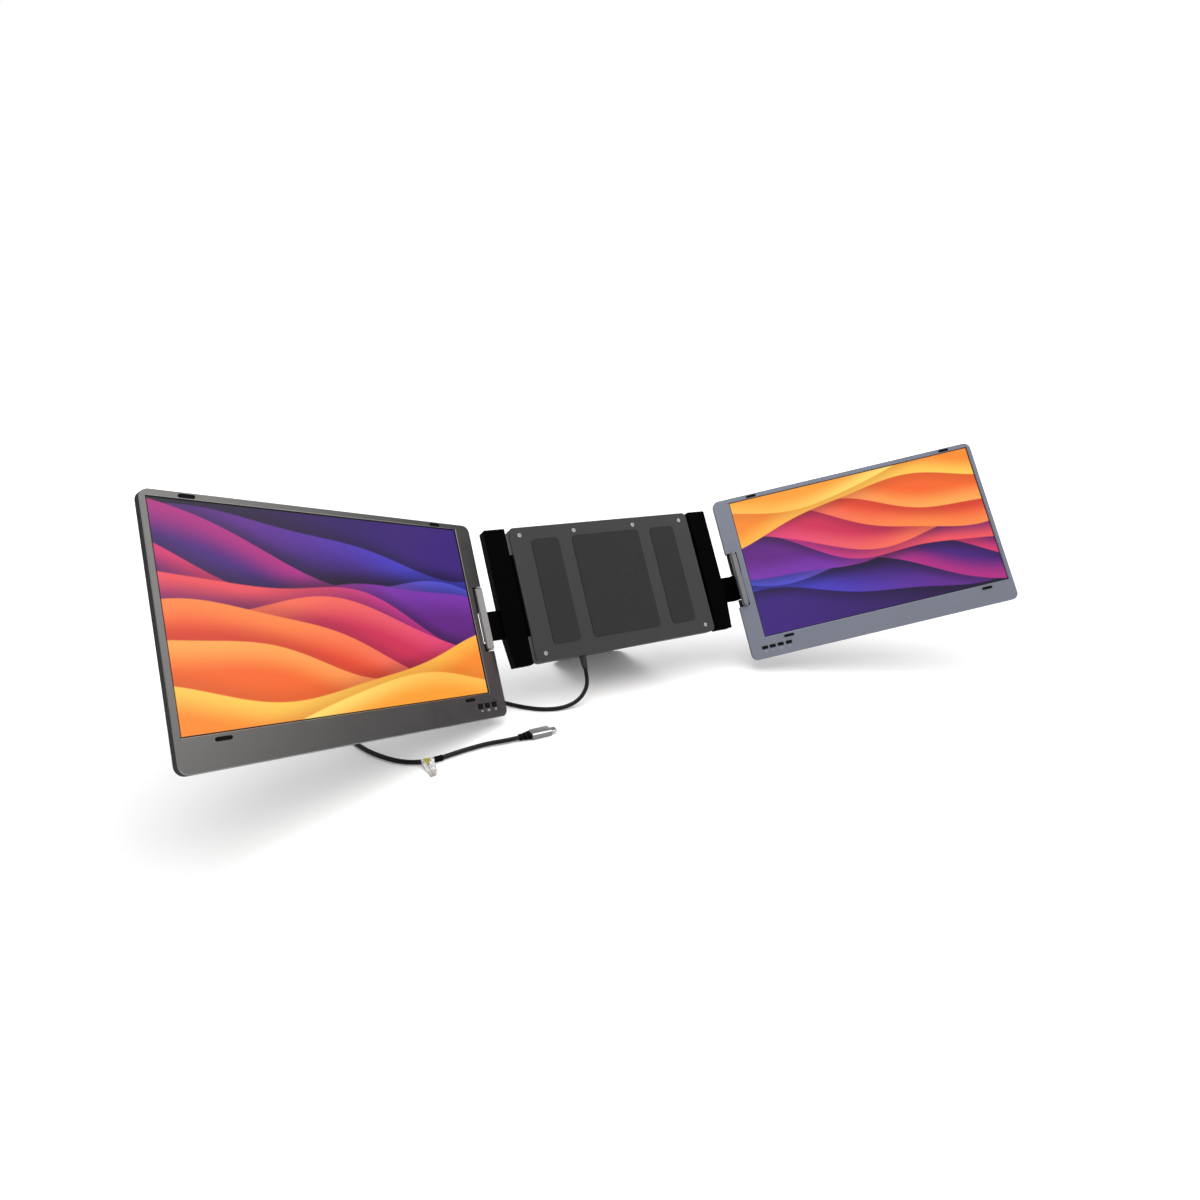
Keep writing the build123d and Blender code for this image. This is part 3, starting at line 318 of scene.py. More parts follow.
@dataclass(frozen=True)
class Screws:
    """The screws of one CAD node, given threads and cross recesses on that node's own sizes.

    Lengths are in metres; way points from the tips to the heads. The cross is given in shares of the head:
    its arms' half width, their reach and the softness of their edge by its radius, its depth by its height.
    """

    node: str
    body: str
    way: Vector
    around: int = 28
    pitch: float = 0.0006
    thread: float = 0.00014
    rim: float = 0.00025
    alike: float = 0.00005
    shortest: float = 0.0002
    arm: float = 0.17
    reach: float = 0.6
    soft: float = 0.1
    deep: float = 0.6

    @property
    def turns(self) -> np.ndarray:
        """The angles of the points on a ring."""
        return np.linspace(0.0, 2 * np.pi, self.around, endpoint=False)

    def solids(self) -> list[np.ndarray]:
        """The points of each separate screw: the lowest point number spreads along the edges."""
        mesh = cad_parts[self.node].data
        places = np.empty(len(mesh.vertices) * 3)
        mesh.vertices.foreach_get("co", places)
        places, number = np.unique(places.reshape(-1, 3).round(6), axis=0, return_inverse=True)
        edges = np.empty(len(mesh.edges) * 2, dtype=int)
        mesh.edges.foreach_get("vertices", edges)
        one, two = number.ravel()[edges].reshape(-1, 2).T
        label = np.arange(len(places))
        settled = False
        while not settled:
            low = np.minimum(label[one], label[two])
            spread = label.copy()
            np.minimum.at(spread, one, low)
            np.minimum.at(spread, two, low)
            settled = bool((spread == label).all())
            label = spread
        return [places[label == mark] for mark in np.unique(label)]

    def spans(self, heights: np.ndarray, radii: np.ndarray) -> list[Triple]:
        """Low end, high end and radius of each plain length, from the tip up."""
        grouped = np.round(radii / self.alike).astype(int)
        found = []
        for mark in np.unique(grouped):
            chosen = heights[grouped == mark]
            found.append((float(chosen.min()), float(chosen.max()), float(radii[grouped == mark].mean())))
        return sorted(span for span in found if span[1] - span[0] > self.shortest)

    def shank(self, low: float, high: float, radius: float) -> tuple[np.ndarray, np.ndarray]:
        """Heights and radii of a length's rings: the thread is a ridge that climbs one pitch a turn."""
        rows = np.arange(low, high, self.pitch / 4)[:, None]
        ridge = 0.5 + 0.5 * np.cos(2 * np.pi * rows / self.pitch - self.turns)
        heights = np.vstack([rows, [[high]]]) * np.ones(self.around)
        return heights, np.vstack([radius - self.thread * ridge, np.full(self.around, radius)])

    def head(self, low: float, high: float, radius: float) -> tuple[np.ndarray, np.ndarray]:
        """Heights and radii of the head's rings: a rounded rim, and a cross sunk in its top.

        The cross is where the smaller side distance from the middle is under the arm's half width.
        """
        rim = min(self.rim, (high - low) / 3)
        bend = np.radians([0.0, 30.0, 60.0, 90.0])
        plain = np.ones(self.around)
        heights = np.concatenate([[low], high - rim + rim * np.sin(bend)])[:, None] * plain
        radii = np.concatenate([[radius], radius - rim + rim * np.cos(bend)])[:, None] * plain
        rows = np.maximum(np.linspace(0.97, 0.0, 16), 0.002)[:, None] * (radius - rim) * plain
        x, y = abs(rows * np.cos(self.turns)), abs(rows * np.sin(self.turns))
        soft = radius * self.soft
        inside = np.clip((radius * self.arm - np.minimum(x, y)) / soft + 0.5, 0, 1)
        inside *= np.clip((radius * self.reach - np.maximum(x, y)) / soft + 0.5, 0, 1)
        top = high - inside * (high - low) * self.deep
        return np.vstack([heights, top]), np.vstack([radii, rows])

    def shape(self, points: np.ndarray) -> Skin:
        """One screw as a skin of rings, on the axis and the lengths that its own points show."""
        way = np.array(self.way)
        side = np.array(self.way.orthogonal().normalized())
        third = np.cross(way, side)
        flat = points @ np.stack([side, third, way], axis=1)
        middle = (flat.min(axis=0) + flat.max(axis=0))[:2] / 2
        spans = self.spans(flat[:, 2], np.hypot(*(flat[:, :2] - middle).T))
        parts = [self.shank(*span) for span in spans[:-1]] + [self.head(*spans[-1])]
        lift, out = (np.concatenate(rows)[..., None] for rows in zip(*parts))
        circle = np.cos(self.turns)[:, None] * side + np.sin(self.turns)[:, None] * third
        return skin(middle[0] * side + middle[1] * third + lift * way + out * circle)

    def build(self, material: bpy.types.Material) -> None:
        """Makes the piece with all screws of the node."""
        shapes = [self.shape(points) for points in self.solids()]
        Piece(f"{self.node}_threaded", self.body, self.node, "screw_steel").build(joined(shapes), material)


# ---- where the screens hang ----
@dataclass(frozen=True)
class Hang:
    """The place of one screen: millimetres from its hinge axis, turned and leaned with the bracket."""

    side: Side
    tilt: float = 31.0
    reach: float = 168.4
    low: float = 10.0

    @property
    def swing(self) -> float:
        """How far the screen is swung forward, in radians."""
        return math.radians({Side.LEFT: 28.0, Side.RIGHT: 29.3}[self.side])

    @property
    def forward(self) -> float:
        """Hinge axis in front of the lid's back."""
        return {Side.LEFT: -1.0, Side.RIGHT: 9.7}[self.side]

    def lean(self, x: float, y: float, z: float) -> Vector:
        """Turns a direction of the upright bracket back by the lid's tilt."""
        cos, sin = math.cos(math.radians(self.tilt)), math.sin(math.radians(self.tilt))
        return Vector((x, y * cos + z * sin, z * cos - y * sin))

    @property
    def across(self) -> Vector:
        """From the hinge towards the screen's outer end."""
        return self.lean(self.side.sign * math.cos(self.swing), -math.sin(self.swing), 0.0)

    @property
    def behind(self) -> Vector:
        """From the screen's face into its thickness."""
        return self.lean(self.side.sign * math.sin(self.swing), math.cos(self.swing), 0.0)

    @property
    def up(self) -> Vector:
        """Up the hinge axis."""
        return self.lean(*UPWARDS)

    @property
    def origin(self) -> Vector:
        """Level of the picture's middle on the hinge axis, in millimetres."""
        return self.lean(self.side.sign * self.reach, -self.forward, -self.low)

    def signals(self, tree: Tree, where: Signal) -> tuple[Signal, Signal]:
        """How far a point lies out from the hinge axis and up from the picture's middle, in millimetres."""
        return tuple(tree.along(where, tuple(way), way.dot(self.origin)) for way in (self.across, self.up))


# ---- finishes ----
@dataclass(frozen=True)
class Finish:
    """A material worked out from a point's place; noise scales are lumps in a metre."""

    name: str

    def inputs(self, tree: Tree, where: Signal) -> dict[str, Any]:
        """What each kind of finish sets on the shader.

        Args:
            tree: the material's tree.
            where: the point's place in metres.

        Returns:
            Values or signals by the shader's socket name, with _ for a space.
        """
        raise NotImplementedError

    def material(self) -> bpy.types.Material:
        """Makes the material."""
        tree = Tree.material(self.name)
        return tree.surface(self.inputs(tree, tree.place()))


def dress(finish: Finish, *nodes: str) -> None:
    """Makes a finish and puts it on CAD nodes."""
    material = finish.material()
    for node in nodes:
        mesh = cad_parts[node].data
        mesh.materials.clear()
        mesh.materials.append(material)
        LOG.info("dressed %s in %s", node, material.name)


@dataclass(frozen=True)
class Moulded(Finish):
    """Plastic or rubber with a fine moulded grain."""

    colour: Triple
    roughness: float = 0.5
    grain: float = 2500.0
    depth: float = 0.00004
    mottle: float = 0.12
    gloss: float = 0.5
    patches: float = 45.0

    def inputs(self, tree: Tree, where: Signal) -> dict[str, Any]:
        """Grain bump, and a faint change of tone and gloss."""
        fine = tree.noise(where, self.grain, 2.0)
        wide = tree.noise(where, self.patches, 4.0)
        dark, light = (shaded(self.colour, 1 + change) for change in (-self.mottle, self.mottle))
        return dict(
            Base_Color=tree.mix(wide, dark, light),
            Roughness=self.roughness + (wide - 0.5) * 0.12 + (fine - 0.5) * 0.08,
            Specular_IOR_Level=self.gloss,
            Normal=tree.bump(fine, 0.35, self.depth),
        )


@dataclass(frozen=True)
class BrushedMetal(Finish):
    """Bare metal with fine lines along one direction: their scale is in lines to 1 mm."""

    colour: Triple
    direction: Triple
    roughness: float = 0.32
    lines: float = 2.2
    stretch: float = 0.03
    smudges: float = 90.0

    def tint(self, tree: Tree, where: Signal) -> "Signal | Triple":
        """The metal's own colour at a place."""
        return self.colour

    def inputs(self, tree: Tree, where: Signal) -> dict[str, Any]:
        """Noise stretched along the brushing gives lines in tone, gloss and height."""
        axis = Vector(self.direction).normalized()
        other = axis.orthogonal().normalized()
        long, *short = (tree.along(where, tuple(way)) for way in (axis, other, axis.cross(other)))
        streak = tree.stretched((long * self.stretch, *short), self.lines, 4.0, 0.7)
        smudge = tree.noise(where, self.smudges, 3.0)
        return dict(
            Base_Color=tree.mix(streak.ramp(0.25, 0.75, 0.18, 0.0), self.tint(tree, where), BLACK),
            Metallic=1.0,
            Roughness=self.roughness + (streak - 0.5) * 0.2 + (smudge - 0.5) * 0.1,
            Normal=tree.bump(streak, 0.3, 0.00003),
        )


@dataclass(frozen=True)
class PaintedLightMetal(BrushedMetal):
    """Brushed metal with painted light: painted shade darkens the sides, a painted highlight runs along the
    upper long edges, and the top is painted lighter; top in metres, the rest in mm from it.
    """

    top: float = 0.0
    # Painted light: colour is the sides' painted shade, edge the painted highlight's colour, and face the
    # lighter painted top.
    edge: Triple = WHITE
    face: Triple = (0.5, 0.5, 0.5)
    highlight_rise: tuple[float, float] = (-1.25, -1.05)
    flat: tuple[float, float] = (-0.3, -0.15)

    def tint(self, tree: Tree, where: Signal) -> "Signal | Triple":
        """The sides' painted shade, then the edge's painted highlight, then the lighter painted top, by the
        height.
        """
        height = tree.along(where, UPWARDS, self.top * PER_METRE)
        colour_with_painted_edge = tree.mix(height.ramp(*self.highlight_rise), self.colour, self.edge)
        return tree.mix(height.ramp(*self.flat), colour_with_painted_edge, self.face)


@dataclass(frozen=True)
class TurnedSteel(Finish):
    """Screws and pins: plain steel with a worn, slightly uneven gloss."""

    colour: Triple = (0.36, 0.36, 0.37)
    roughness: float = 0.35
    scratches: float = 1800.0
    patches: float = 160.0

    def inputs(self, tree: Tree, where: Signal) -> dict[str, Any]:
        """Fine scratches in tone and height, and patches in the gloss."""
        scratch = tree.noise(where, self.scratches, 4.0, 0.7)
        wide = tree.noise(where, self.patches, 3.0)
        return dict(
            Base_Color=tree.mix(scratch, shaded(self.colour, 0.8), shaded(self.colour, 1.15)),
            Metallic=1.0,
            Roughness=self.roughness + (wide - 0.5) * 0.15,
            Normal=tree.bump(scratch, 0.15, 0.00002),
        )


@dataclass(frozen=True)
class CoatedMetal(Finish):
    """Aluminium with a blasted, coloured coat."""

    colour: Triple
    metallic: float = 0.55
    roughness: float = 0.45
    gloss: float = 0.5
    grain: float = 3600.0
    patches: float = 14.0
    smudges: float = 38.0

    def inputs(self, tree: Tree, where: Signal) -> dict[str, Any]:
        """Fine blasted grain, soft changes of tone, and faint smudges in the gloss."""
        fine = tree.noise(where, self.grain, 1.0)
        wide = tree.noise(where, self.patches, 4.0)
        smudge = tree.noise(where, self.smudges, 5.0, 0.62)
        share = wide * 0.4 + fine * 0.6
        return dict(
            Base_Color=tree.mix(share, shaded(self.colour, 0.86), shaded(self.colour, 1.14)),
            Metallic=self.metallic,
            Roughness=self.roughness + (smudge - 0.5) * 0.1 + (fine - 0.5) * 0.1,
            Specular_IOR_Level=self.gloss,
            Normal=tree.bump(fine, 0.3, 0.00003),
        )


@dataclass(frozen=True)
class PrintedCoat(CoatedMetal):
    """The coat of a screen's frame, with a painted highlight on its cut edge, painted shade on its side
    walls, and printed signs.

    Lengths are in millimetres. cut is the painted highlight's tone on the cut edge and wall the painted
    shade's tone on the side walls, as factors of the coat's, and bevel and side say how far behind the face
    each of them begins and is full.
    """

    hang: Hang = Hang(Side.LEFT)
    face: float = 2.5
    cut: float = 1.0
    wall: float = 0.6
    bevel: tuple[float, float] = (0.02, 0.12)
    side: tuple[float, float] = (0.35, 0.55)
    signs: tuple[tuple[Sign, float], ...] = ()
    level: float = 0.0
    ink: Triple = (0.3, 0.3, 0.3)
    fade: float = 1.0

    def bar(self, out: Signal, up: Signal, x: float, lift: float, wide: float, tall: float) -> Signal:
        """1 inside a small bar with soft edges; lift is its height over the signs' level."""
        past = (abs(out - x) - wide / 2).higher(abs(up - (self.level + lift)) - tall / 2)
        return past.ramp(0.08, -0.08)

    def mask(self, sign: Sign, out: Signal, up: Signal, x: float) -> Signal:
        """One sign as a mask, made of bars given by lift, width and height."""
        bars = {
            Sign.MINUS: ((0.0, 3.2, 1.2),),
            Sign.MENU: ((-0.7, 4.4, 0.8), (0.6, 4.0, 0.8)),
            Sign.PLUS: ((0.0, 2.6, 0.8), (0.0, 0.8, 2.6)),
            Sign.RING: ((0.0, 2.6, 2.2),),
        }[sign]
        total = reduce(Signal.higher, [self.bar(out, up, x, *bar) for bar in bars])
        return total * (1.0 - self.bar(out, up, x, 0.0, 0.9, 0.6)) if sign is Sign.RING else total

    def inputs(self, tree: Tree, where: Signal) -> dict[str, Any]:
        """The coat with the signs laid over its colour, then the painted highlight on the edge and the
        painted shade on the walls by depth.
        """
        coat = super().inputs(tree, where)
        out, up = self.hang.signals(tree, where)
        way = self.hang.behind
        depth = tree.along(where, tuple(way), way.dot(self.hang.origin) + self.face)
        ink = reduce(Signal.higher, [self.mask(sign, out, up, x) for sign, x in self.signs])
        printed = tree.mix(ink * self.fade, coat["Base_Color"], self.ink)
        # Painted highlight on the cut edge, then painted shade on the side walls, which are also made less
        # metallic.
        colour_with_painted_edge = tree.mix(depth.ramp(*self.bevel), printed, shaded(self.colour, self.cut))
        coat["Base_Color"] = tree.mix(depth.ramp(*self.side), colour_with_painted_edge, shaded(self.colour, self.wall))
        coat["Metallic"] = depth.ramp(*self.side, self.metallic, self.metallic * self.wall)
        return coat


@dataclass(frozen=True)
class RibbedRubber(Finish):
    """Silicone with fine ribs along one direction, a pitch in mm apart."""

    colour: Triple
    across: Triple
    pitch: float = 1.6
    grain: float = 2600.0
    patches: float = 60.0

    def inputs(self, tree: Tree, where: Signal) -> dict[str, Any]:
        """Ribs are a sine of the distance across them, in height and in tone: the grooves are painted darker
        as shade and the crests lighter, and noise adds a little dust.
        """
        rib = (tree.along(where, self.across) * (2 * math.pi / self.pitch)).sine() * 0.5 + 0.5
        dust = tree.noise(where, self.patches, 4.0, 0.6)
        fine = tree.noise(where, self.grain, 1.0)
        # Painted shade: darker in the grooves and lighter on the crests, mixed with random dust.
        lit = dust * 0.5 + rib * 0.5
        return dict(
            Base_Color=tree.mix(lit, shaded(self.colour, 0.75), shaded(self.colour, 1.3)),
            Roughness=0.72 + (dust - 0.5) * 0.2,
            Specular_IOR_Level=0.3,
            Normal=tree.bump(rib * 0.85 + fine * 0.15, 0.6, 0.0002),
        )


@dataclass(frozen=True)
class ClearFilm(Finish):
    """Clear folded plastic film: painted highlights make it white along its creases, painted shade darkens
    its outline, and it is brownish towards the tip.

    tip_y is the tip's place along Y in mm, from which the brown fades out as fade says.
    """

    tip_y: float
    fade: tuple[float, float] = (-15.0, -2.0)
    clear: float = 0.35
    dense: float = 0.9
    # dull is the film's tone between painted highlights and bright the painted highlight's; outline is the
    # painted shade along the outline.
    dull: Triple = tone(186, 184, 180)
    bright: Triple = tone(250, 250, 250)
    outline: Triple = tone(122, 112, 96)
    brown: Triple = tone(122, 104, 74)

    def inputs(self, tree: Tree, where: Signal) -> dict[str, Any]:
        """Creases are noise stretched along the film, which also places the painted highlights; the outline's
        painted shade comes from the piece's attribute.
        """
        x, y = (tree.along(where, way) for way in (RIGHTWARDS, (0.0, 1.0, 0.0)))
        crease = tree.stretched((x * 0.9, y * 0.22, 0.0), 1.3, 3.0, 0.6)
        near = tree.along(where, (0.0, -1.0, 0.0), -self.tip_y).ramp(*self.fade)
        rim = tree.add("ShaderNodeAttribute", {"attribute_name": "rim"})[2].ramp(0.68, 1.0)
        # Painted highlights along the creases, then painted shade on the outline.
        pale = tree.mix(crease.ramp(0.35, 0.6), self.dull, self.bright)
        colour_with_painted_edge = tree.mix(rim * self.dense, pale, self.outline)
        return dict(
            Base_Color=tree.mix(near * crease.ramp(0.3, 0.6, 1.0, 0.45), colour_with_painted_edge, self.brown),
            Roughness=0.16,
            Coat_Weight=0.6,
            Alpha=crease.ramp(0.35, 0.65, self.clear, self.dense).higher(rim.higher(near) * self.dense),
            Normal=tree.bump(crease, 0.5, 0.0004),
        )


@dataclass(frozen=True)
class CircuitBoard(Finish):
    """Green board with fine copper tracks under its coat."""

    colour: Triple = (0.012, 0.07, 0.03)
    cells: float = 420.0

    def inputs(self, tree: Tree, where: Signal) -> dict[str, Any]:
        """Tracks are narrow bands of stripes that noise breaks up, and the cores of small cells."""
        sized = {"Vector": where, "Scale": self.cells}
        cells = tree.add("ShaderNodeTexVoronoi", {"distance": "CHEBYCHEV"}, sized)[0]
        rows = (tree.along(where, RIGHTWARDS) * 3.1).sine()
        bands = rows.ramp(0.55, 0.8) * tree.noise(where, 150.0, 2.0).ramp(0.48, 0.52)
        mask = bands.higher(cells.ramp(0.2, 0.1))
        return dict(
            Base_Color=tree.mix(mask, self.colour, shaded(self.colour, 2.4)),
            Roughness=0.42 - mask * 0.12,
            Normal=tree.bump(mask, 0.4, 0.00004),
        )


@dataclass(frozen=True)
class Sheet:
    """One sheet of the picture: it lies below a line, level + slope * x + waves, and shades what is above.

    Lengths are in picture heights. A wave is its height, pace and start. The colour goes across from one of
    near to the other over span, and down to deep within depth.
    """

    slope: float
    level: float
    waves: tuple[Triple, ...]
    near: tuple[Triple, Triple]
    span: tuple[float, float]
    deep: Triple
    depth: float
    shade: float

    def over(self, tree: Tree, below: Signal, x: Signal, y: Signal) -> Signal:
        """Lays the sheet over a picture.

        Args:
            tree: the material's tree.
            below: the picture so far.
            x: place across, in picture heights.
            y: place up, in picture heights.

        Returns:
            The picture with the sheet on it.
        """
        depth = x * self.slope + self.level - y
        for height, pace, start in self.waves:
            depth = depth + (x * pace + start).sine() * height
        near = tree.mix(x.ramp(*self.span), tone(*self.near[0]), tone(*self.near[1]))
        colour = tree.mix(depth.ramp(0.0, self.depth), near, tone(*self.deep))
        darkened = tree.mix(depth.ramp(-0.1, 0.0, 0.0, self.shade), below, BLACK)
        return tree.mix(depth.ramp(-0.004, 0.004), darkened, colour)


SHEETS = (
    Sheet(-0.10, 0.93, ((0.07, 2.6, 0.4), (0.02, 6.1, 1.0)),
          ((96, 38, 140), (66, 60, 190)), (0.3, 1.5), (52, 20, 96), 0.20, 0.45),
    Sheet(-0.22, 0.93, ((0.08, 3.1, 2.2), (0.03, 5.2, 0.0)),
          ((176, 40, 128), (84, 84, 214)), (0.5, 1.6), (70, 24, 120), 0.17, 0.45),
    Sheet(-0.18, 0.80, ((0.10, 2.9, 3.4), (0.03, 6.4, 2.0)),
          ((214, 52, 110), (120, 48, 168)), (0.2, 1.3), (96, 30, 128), 0.16, 0.42),
    Sheet(-0.26, 0.76, ((0.09, 3.4, 4.6), (0.02, 7.0, 0.5)),
          ((240, 84, 92), (196, 46, 140)), (0.3, 1.4), (150, 34, 118), 0.14, 0.38),
    Sheet(-0.16, 0.58, ((0.11, 2.7, 5.4), (0.02, 6.0, 3.0)),
          ((250, 112, 84), (226, 62, 120)), (0.5, 1.7), (206, 44, 84), 0.15, 0.32),
    Sheet(-0.20, 0.52, ((0.09, 3.3, 0.2), (0.025, 6.8, 1.6)),
          ((255, 138, 70), (244, 96, 92)), (0.4, 1.5), (236, 74, 46), 0.16, 0.28),
    Sheet(-0.05, 0.31, ((0.10, 3.0, 1.3), (0.02, 7.2, 4.0)),
          ((255, 170, 82), (255, 128, 78)), (0.2, 1.5), (246, 104, 40), 0.15, 0.22),
    Sheet(0.06, 0.14, ((0.09, 2.8, 2.6), (0.02, 6.2, 2.2)),
          ((255, 204, 84), (255, 182, 70)), (0.3, 1.2), (250, 140, 44), 0.14, 0.18),
    Sheet(0.10, -0.04, ((0.08, 3.6, 3.9), (0.02, 6.0, 5.0)),
          ((255, 222, 110), (255, 190, 80)), (0.6, 1.6), (252, 160, 48), 0.12, 0.15),
)


@dataclass(frozen=True)
class LitPicture(Finish):
    """Glass with a lit picture of layered waves inside a black edge; inner is the hinge side's edge in mm."""

    hang: Hang
    inner: float = 13.8
    width: float = 309.9
    height: float = 174.3

    def inputs(self, tree: Tree, where: Signal) -> dict[str, Any]:
        """Sheets of colour laid one over another; the right screen shows them upside down."""
        out, up = self.hang.signals(tree, where)
        x = (self.inner + self.width - out) / self.height
        y = (up * -self.hang.side.sign) / self.height + 0.5
        picture = tree.mix(x.ramp(0.2, 1.7), tone(40, 14, 70), tone(58, 30, 120))
        for sheet in SHEETS:
            picture = sheet.over(tree, picture, x, y)
        past = abs(out - (self.inner + self.width / 2)) - self.width / 2
        edge = past.higher(abs(up) - self.height / 2).ramp(-0.05, 0.05)
        smear = tree.noise(where, 22.0, 4.0)
        return dict(
            Base_Color=(0.004, 0.004, 0.005, 1.0),
            Roughness=0.3 + (smear - 0.5) * 0.12,
            Specular_IOR_Level=0.3,
            Emission_Color=tree.mix(edge, picture, BLACK),
            Emission_Strength=1.0,
        )


# ---- camera and studio ----
@dataclass
class Camera:
    """The viewpoint: place in metres, turns in degrees, and focal length in image widths."""

    place: Triple = (-0.451772, -0.717968, 0.252957)
    yaw: float = 30.899
    pitch: float = 18.075
    roll: float = 2.107
    focal: float = 763.238 / 1200
    sensor: float = 36.0

    def build(self) -> None:
        """Makes the camera. It looks along yaw (from +Y towards +X) and pitch below the horizon."""
        yaw, pitch, roll = (math.radians(a) for a in (self.yaw, self.pitch, self.roll))
        flat = math.cos(pitch)
        forward = Vector((math.sin(yaw) * flat, math.cos(yaw) * flat, -math.sin(pitch)))
        level = Vector((math.cos(yaw), -math.sin(yaw), 0.0))
        upward = level.cross(forward)
        right = level * math.cos(roll) + upward * math.sin(roll)
        up = -level * math.sin(roll) + upward * math.cos(roll)
        data = bpy.data.cameras.new("camera")
        data.sensor_width = self.sensor
        data.lens = self.focal * self.sensor
        data.clip_start, data.clip_end = 0.01, 20.0
        camera = placed("camera", data)
        turn = Matrix((right, up, -forward)).transposed()
        camera.matrix_world = Matrix.Translation(self.place) @ turn.to_4x4()
        bpy.context.scene.camera = camera


@dataclass(frozen=True)
class Lamp:
    """A square area lamp that faces the object's middle: place and side in metres, power in watts."""

    name: str
    place: Triple
    power: float
    size: float = 1.6

    def build(self) -> None:
        """Adds the lamp."""
        data = bpy.data.lights.new(self.name, "AREA")
        data.energy = self.power
        data.size = self.size
        lamp = placed(self.name, data)
        lamp.location = self.place
        lamp.rotation_mode = "QUATERNION"
        lamp.rotation_quaternion = (-Vector(self.place)).to_track_quat("-Z", "Y")


@dataclass
class Studio:
    """A pale floor, a pale surround and soft lamps.

    The floor shows brighter than it is lit: a little by floor_fill, and by far_fill from `away` metres out.
    The surround is dim towards dark_way, and glows warm towards glow_way.
    """

    table: float = -0.118
    floor_span: float = 8.0
    floor_fill: float = 0.09
    far_fill: float = 1.0
    away: tuple[float, float] = (0.9, 2.2)
    surround: float = 0.62
    dim: float = 0.0
    dark_way: Triple = (0.981, -0.15, 0.12)
    glow: float = 1.9
    glow_way: Triple = (0.62, -0.42, 0.66)
    warm: Triple = (1.0, 0.97, 0.93)
    lamps: tuple[Lamp, ...] = (
        Lamp("key", (-0.5, -0.9, 2.1), 10.0),
        Lamp("top", (0.25, 0.5, 2.0), 22.0),
    )

    def floor(self) -> None:
        """A wide flat floor at the table's height, which only the camera sees brighter than it is lit."""
        half = self.floor_span / 2
        corners = np.array([(-half, -half), (half, -half), (half, half), (-half, half)])
        mesh = bpy.data.meshes.new("floor")
        mesh.from_pydata(np.column_stack([corners, np.full(4, self.table)]).tolist(), [], [(0, 1, 2, 3)])
        floor = placed("floor", mesh)
        tree = Tree.material("floor_paper")
        where = tree.place()
        grain = tree.mix(tree.noise(where, 900.0, 2.0), tone(248, 248, 249), tone(253, 253, 253))
        far = tree.add("ShaderNodeVectorMath", {"operation": "LENGTH"}, {0: where})[0]
        paper = tree.add("ShaderNodeBsdfDiffuse", {}, {"Color": grain})[0]
        seen = tree.add("ShaderNodeLightPath")[0]
        level = far.ramp(*self.away, self.floor_fill, self.far_fill)
        fill = tree.add("ShaderNodeEmission", {}, {"Strength": seen * level})[0]
        mesh.materials.append(tree.end(tree.add("ShaderNodeAddShader", {}, {0: paper, 1: fill})[0]))

    def world(self) -> None:
        """White to the camera; for the light, the surround."""
        tree = Tree.world("surround")
        way = tree.add("ShaderNodeTexCoord")[0]
        dark, bright = (tree.dot(way, direction) for direction in (self.dark_way, self.glow_way))
        glow = bright.ramp(0.84, 0.99)
        strength = dark.ramp(0.82, 0.99, self.surround, self.dim) + glow * self.glow
        colour = tree.mix(glow, WHITE, self.warm)
        lit = tree.add("ShaderNodeBackground", {}, {"Color": colour, "Strength": strength})[0]
        seen = tree.add("ShaderNodeBackground", {}, {"Color": (*WHITE, 1.0), "Strength": 1.0})[0]
        camera = tree.add("ShaderNodeLightPath")[0]
        tree.end(tree.add("ShaderNodeMixShader", {}, {0: camera, 1: lit, 2: seen})[0])

    def build(self) -> None:
        """Floor, surround and lamps."""
        self.floor()
        self.world()
        for lamp in self.lamps:
            lamp.build()


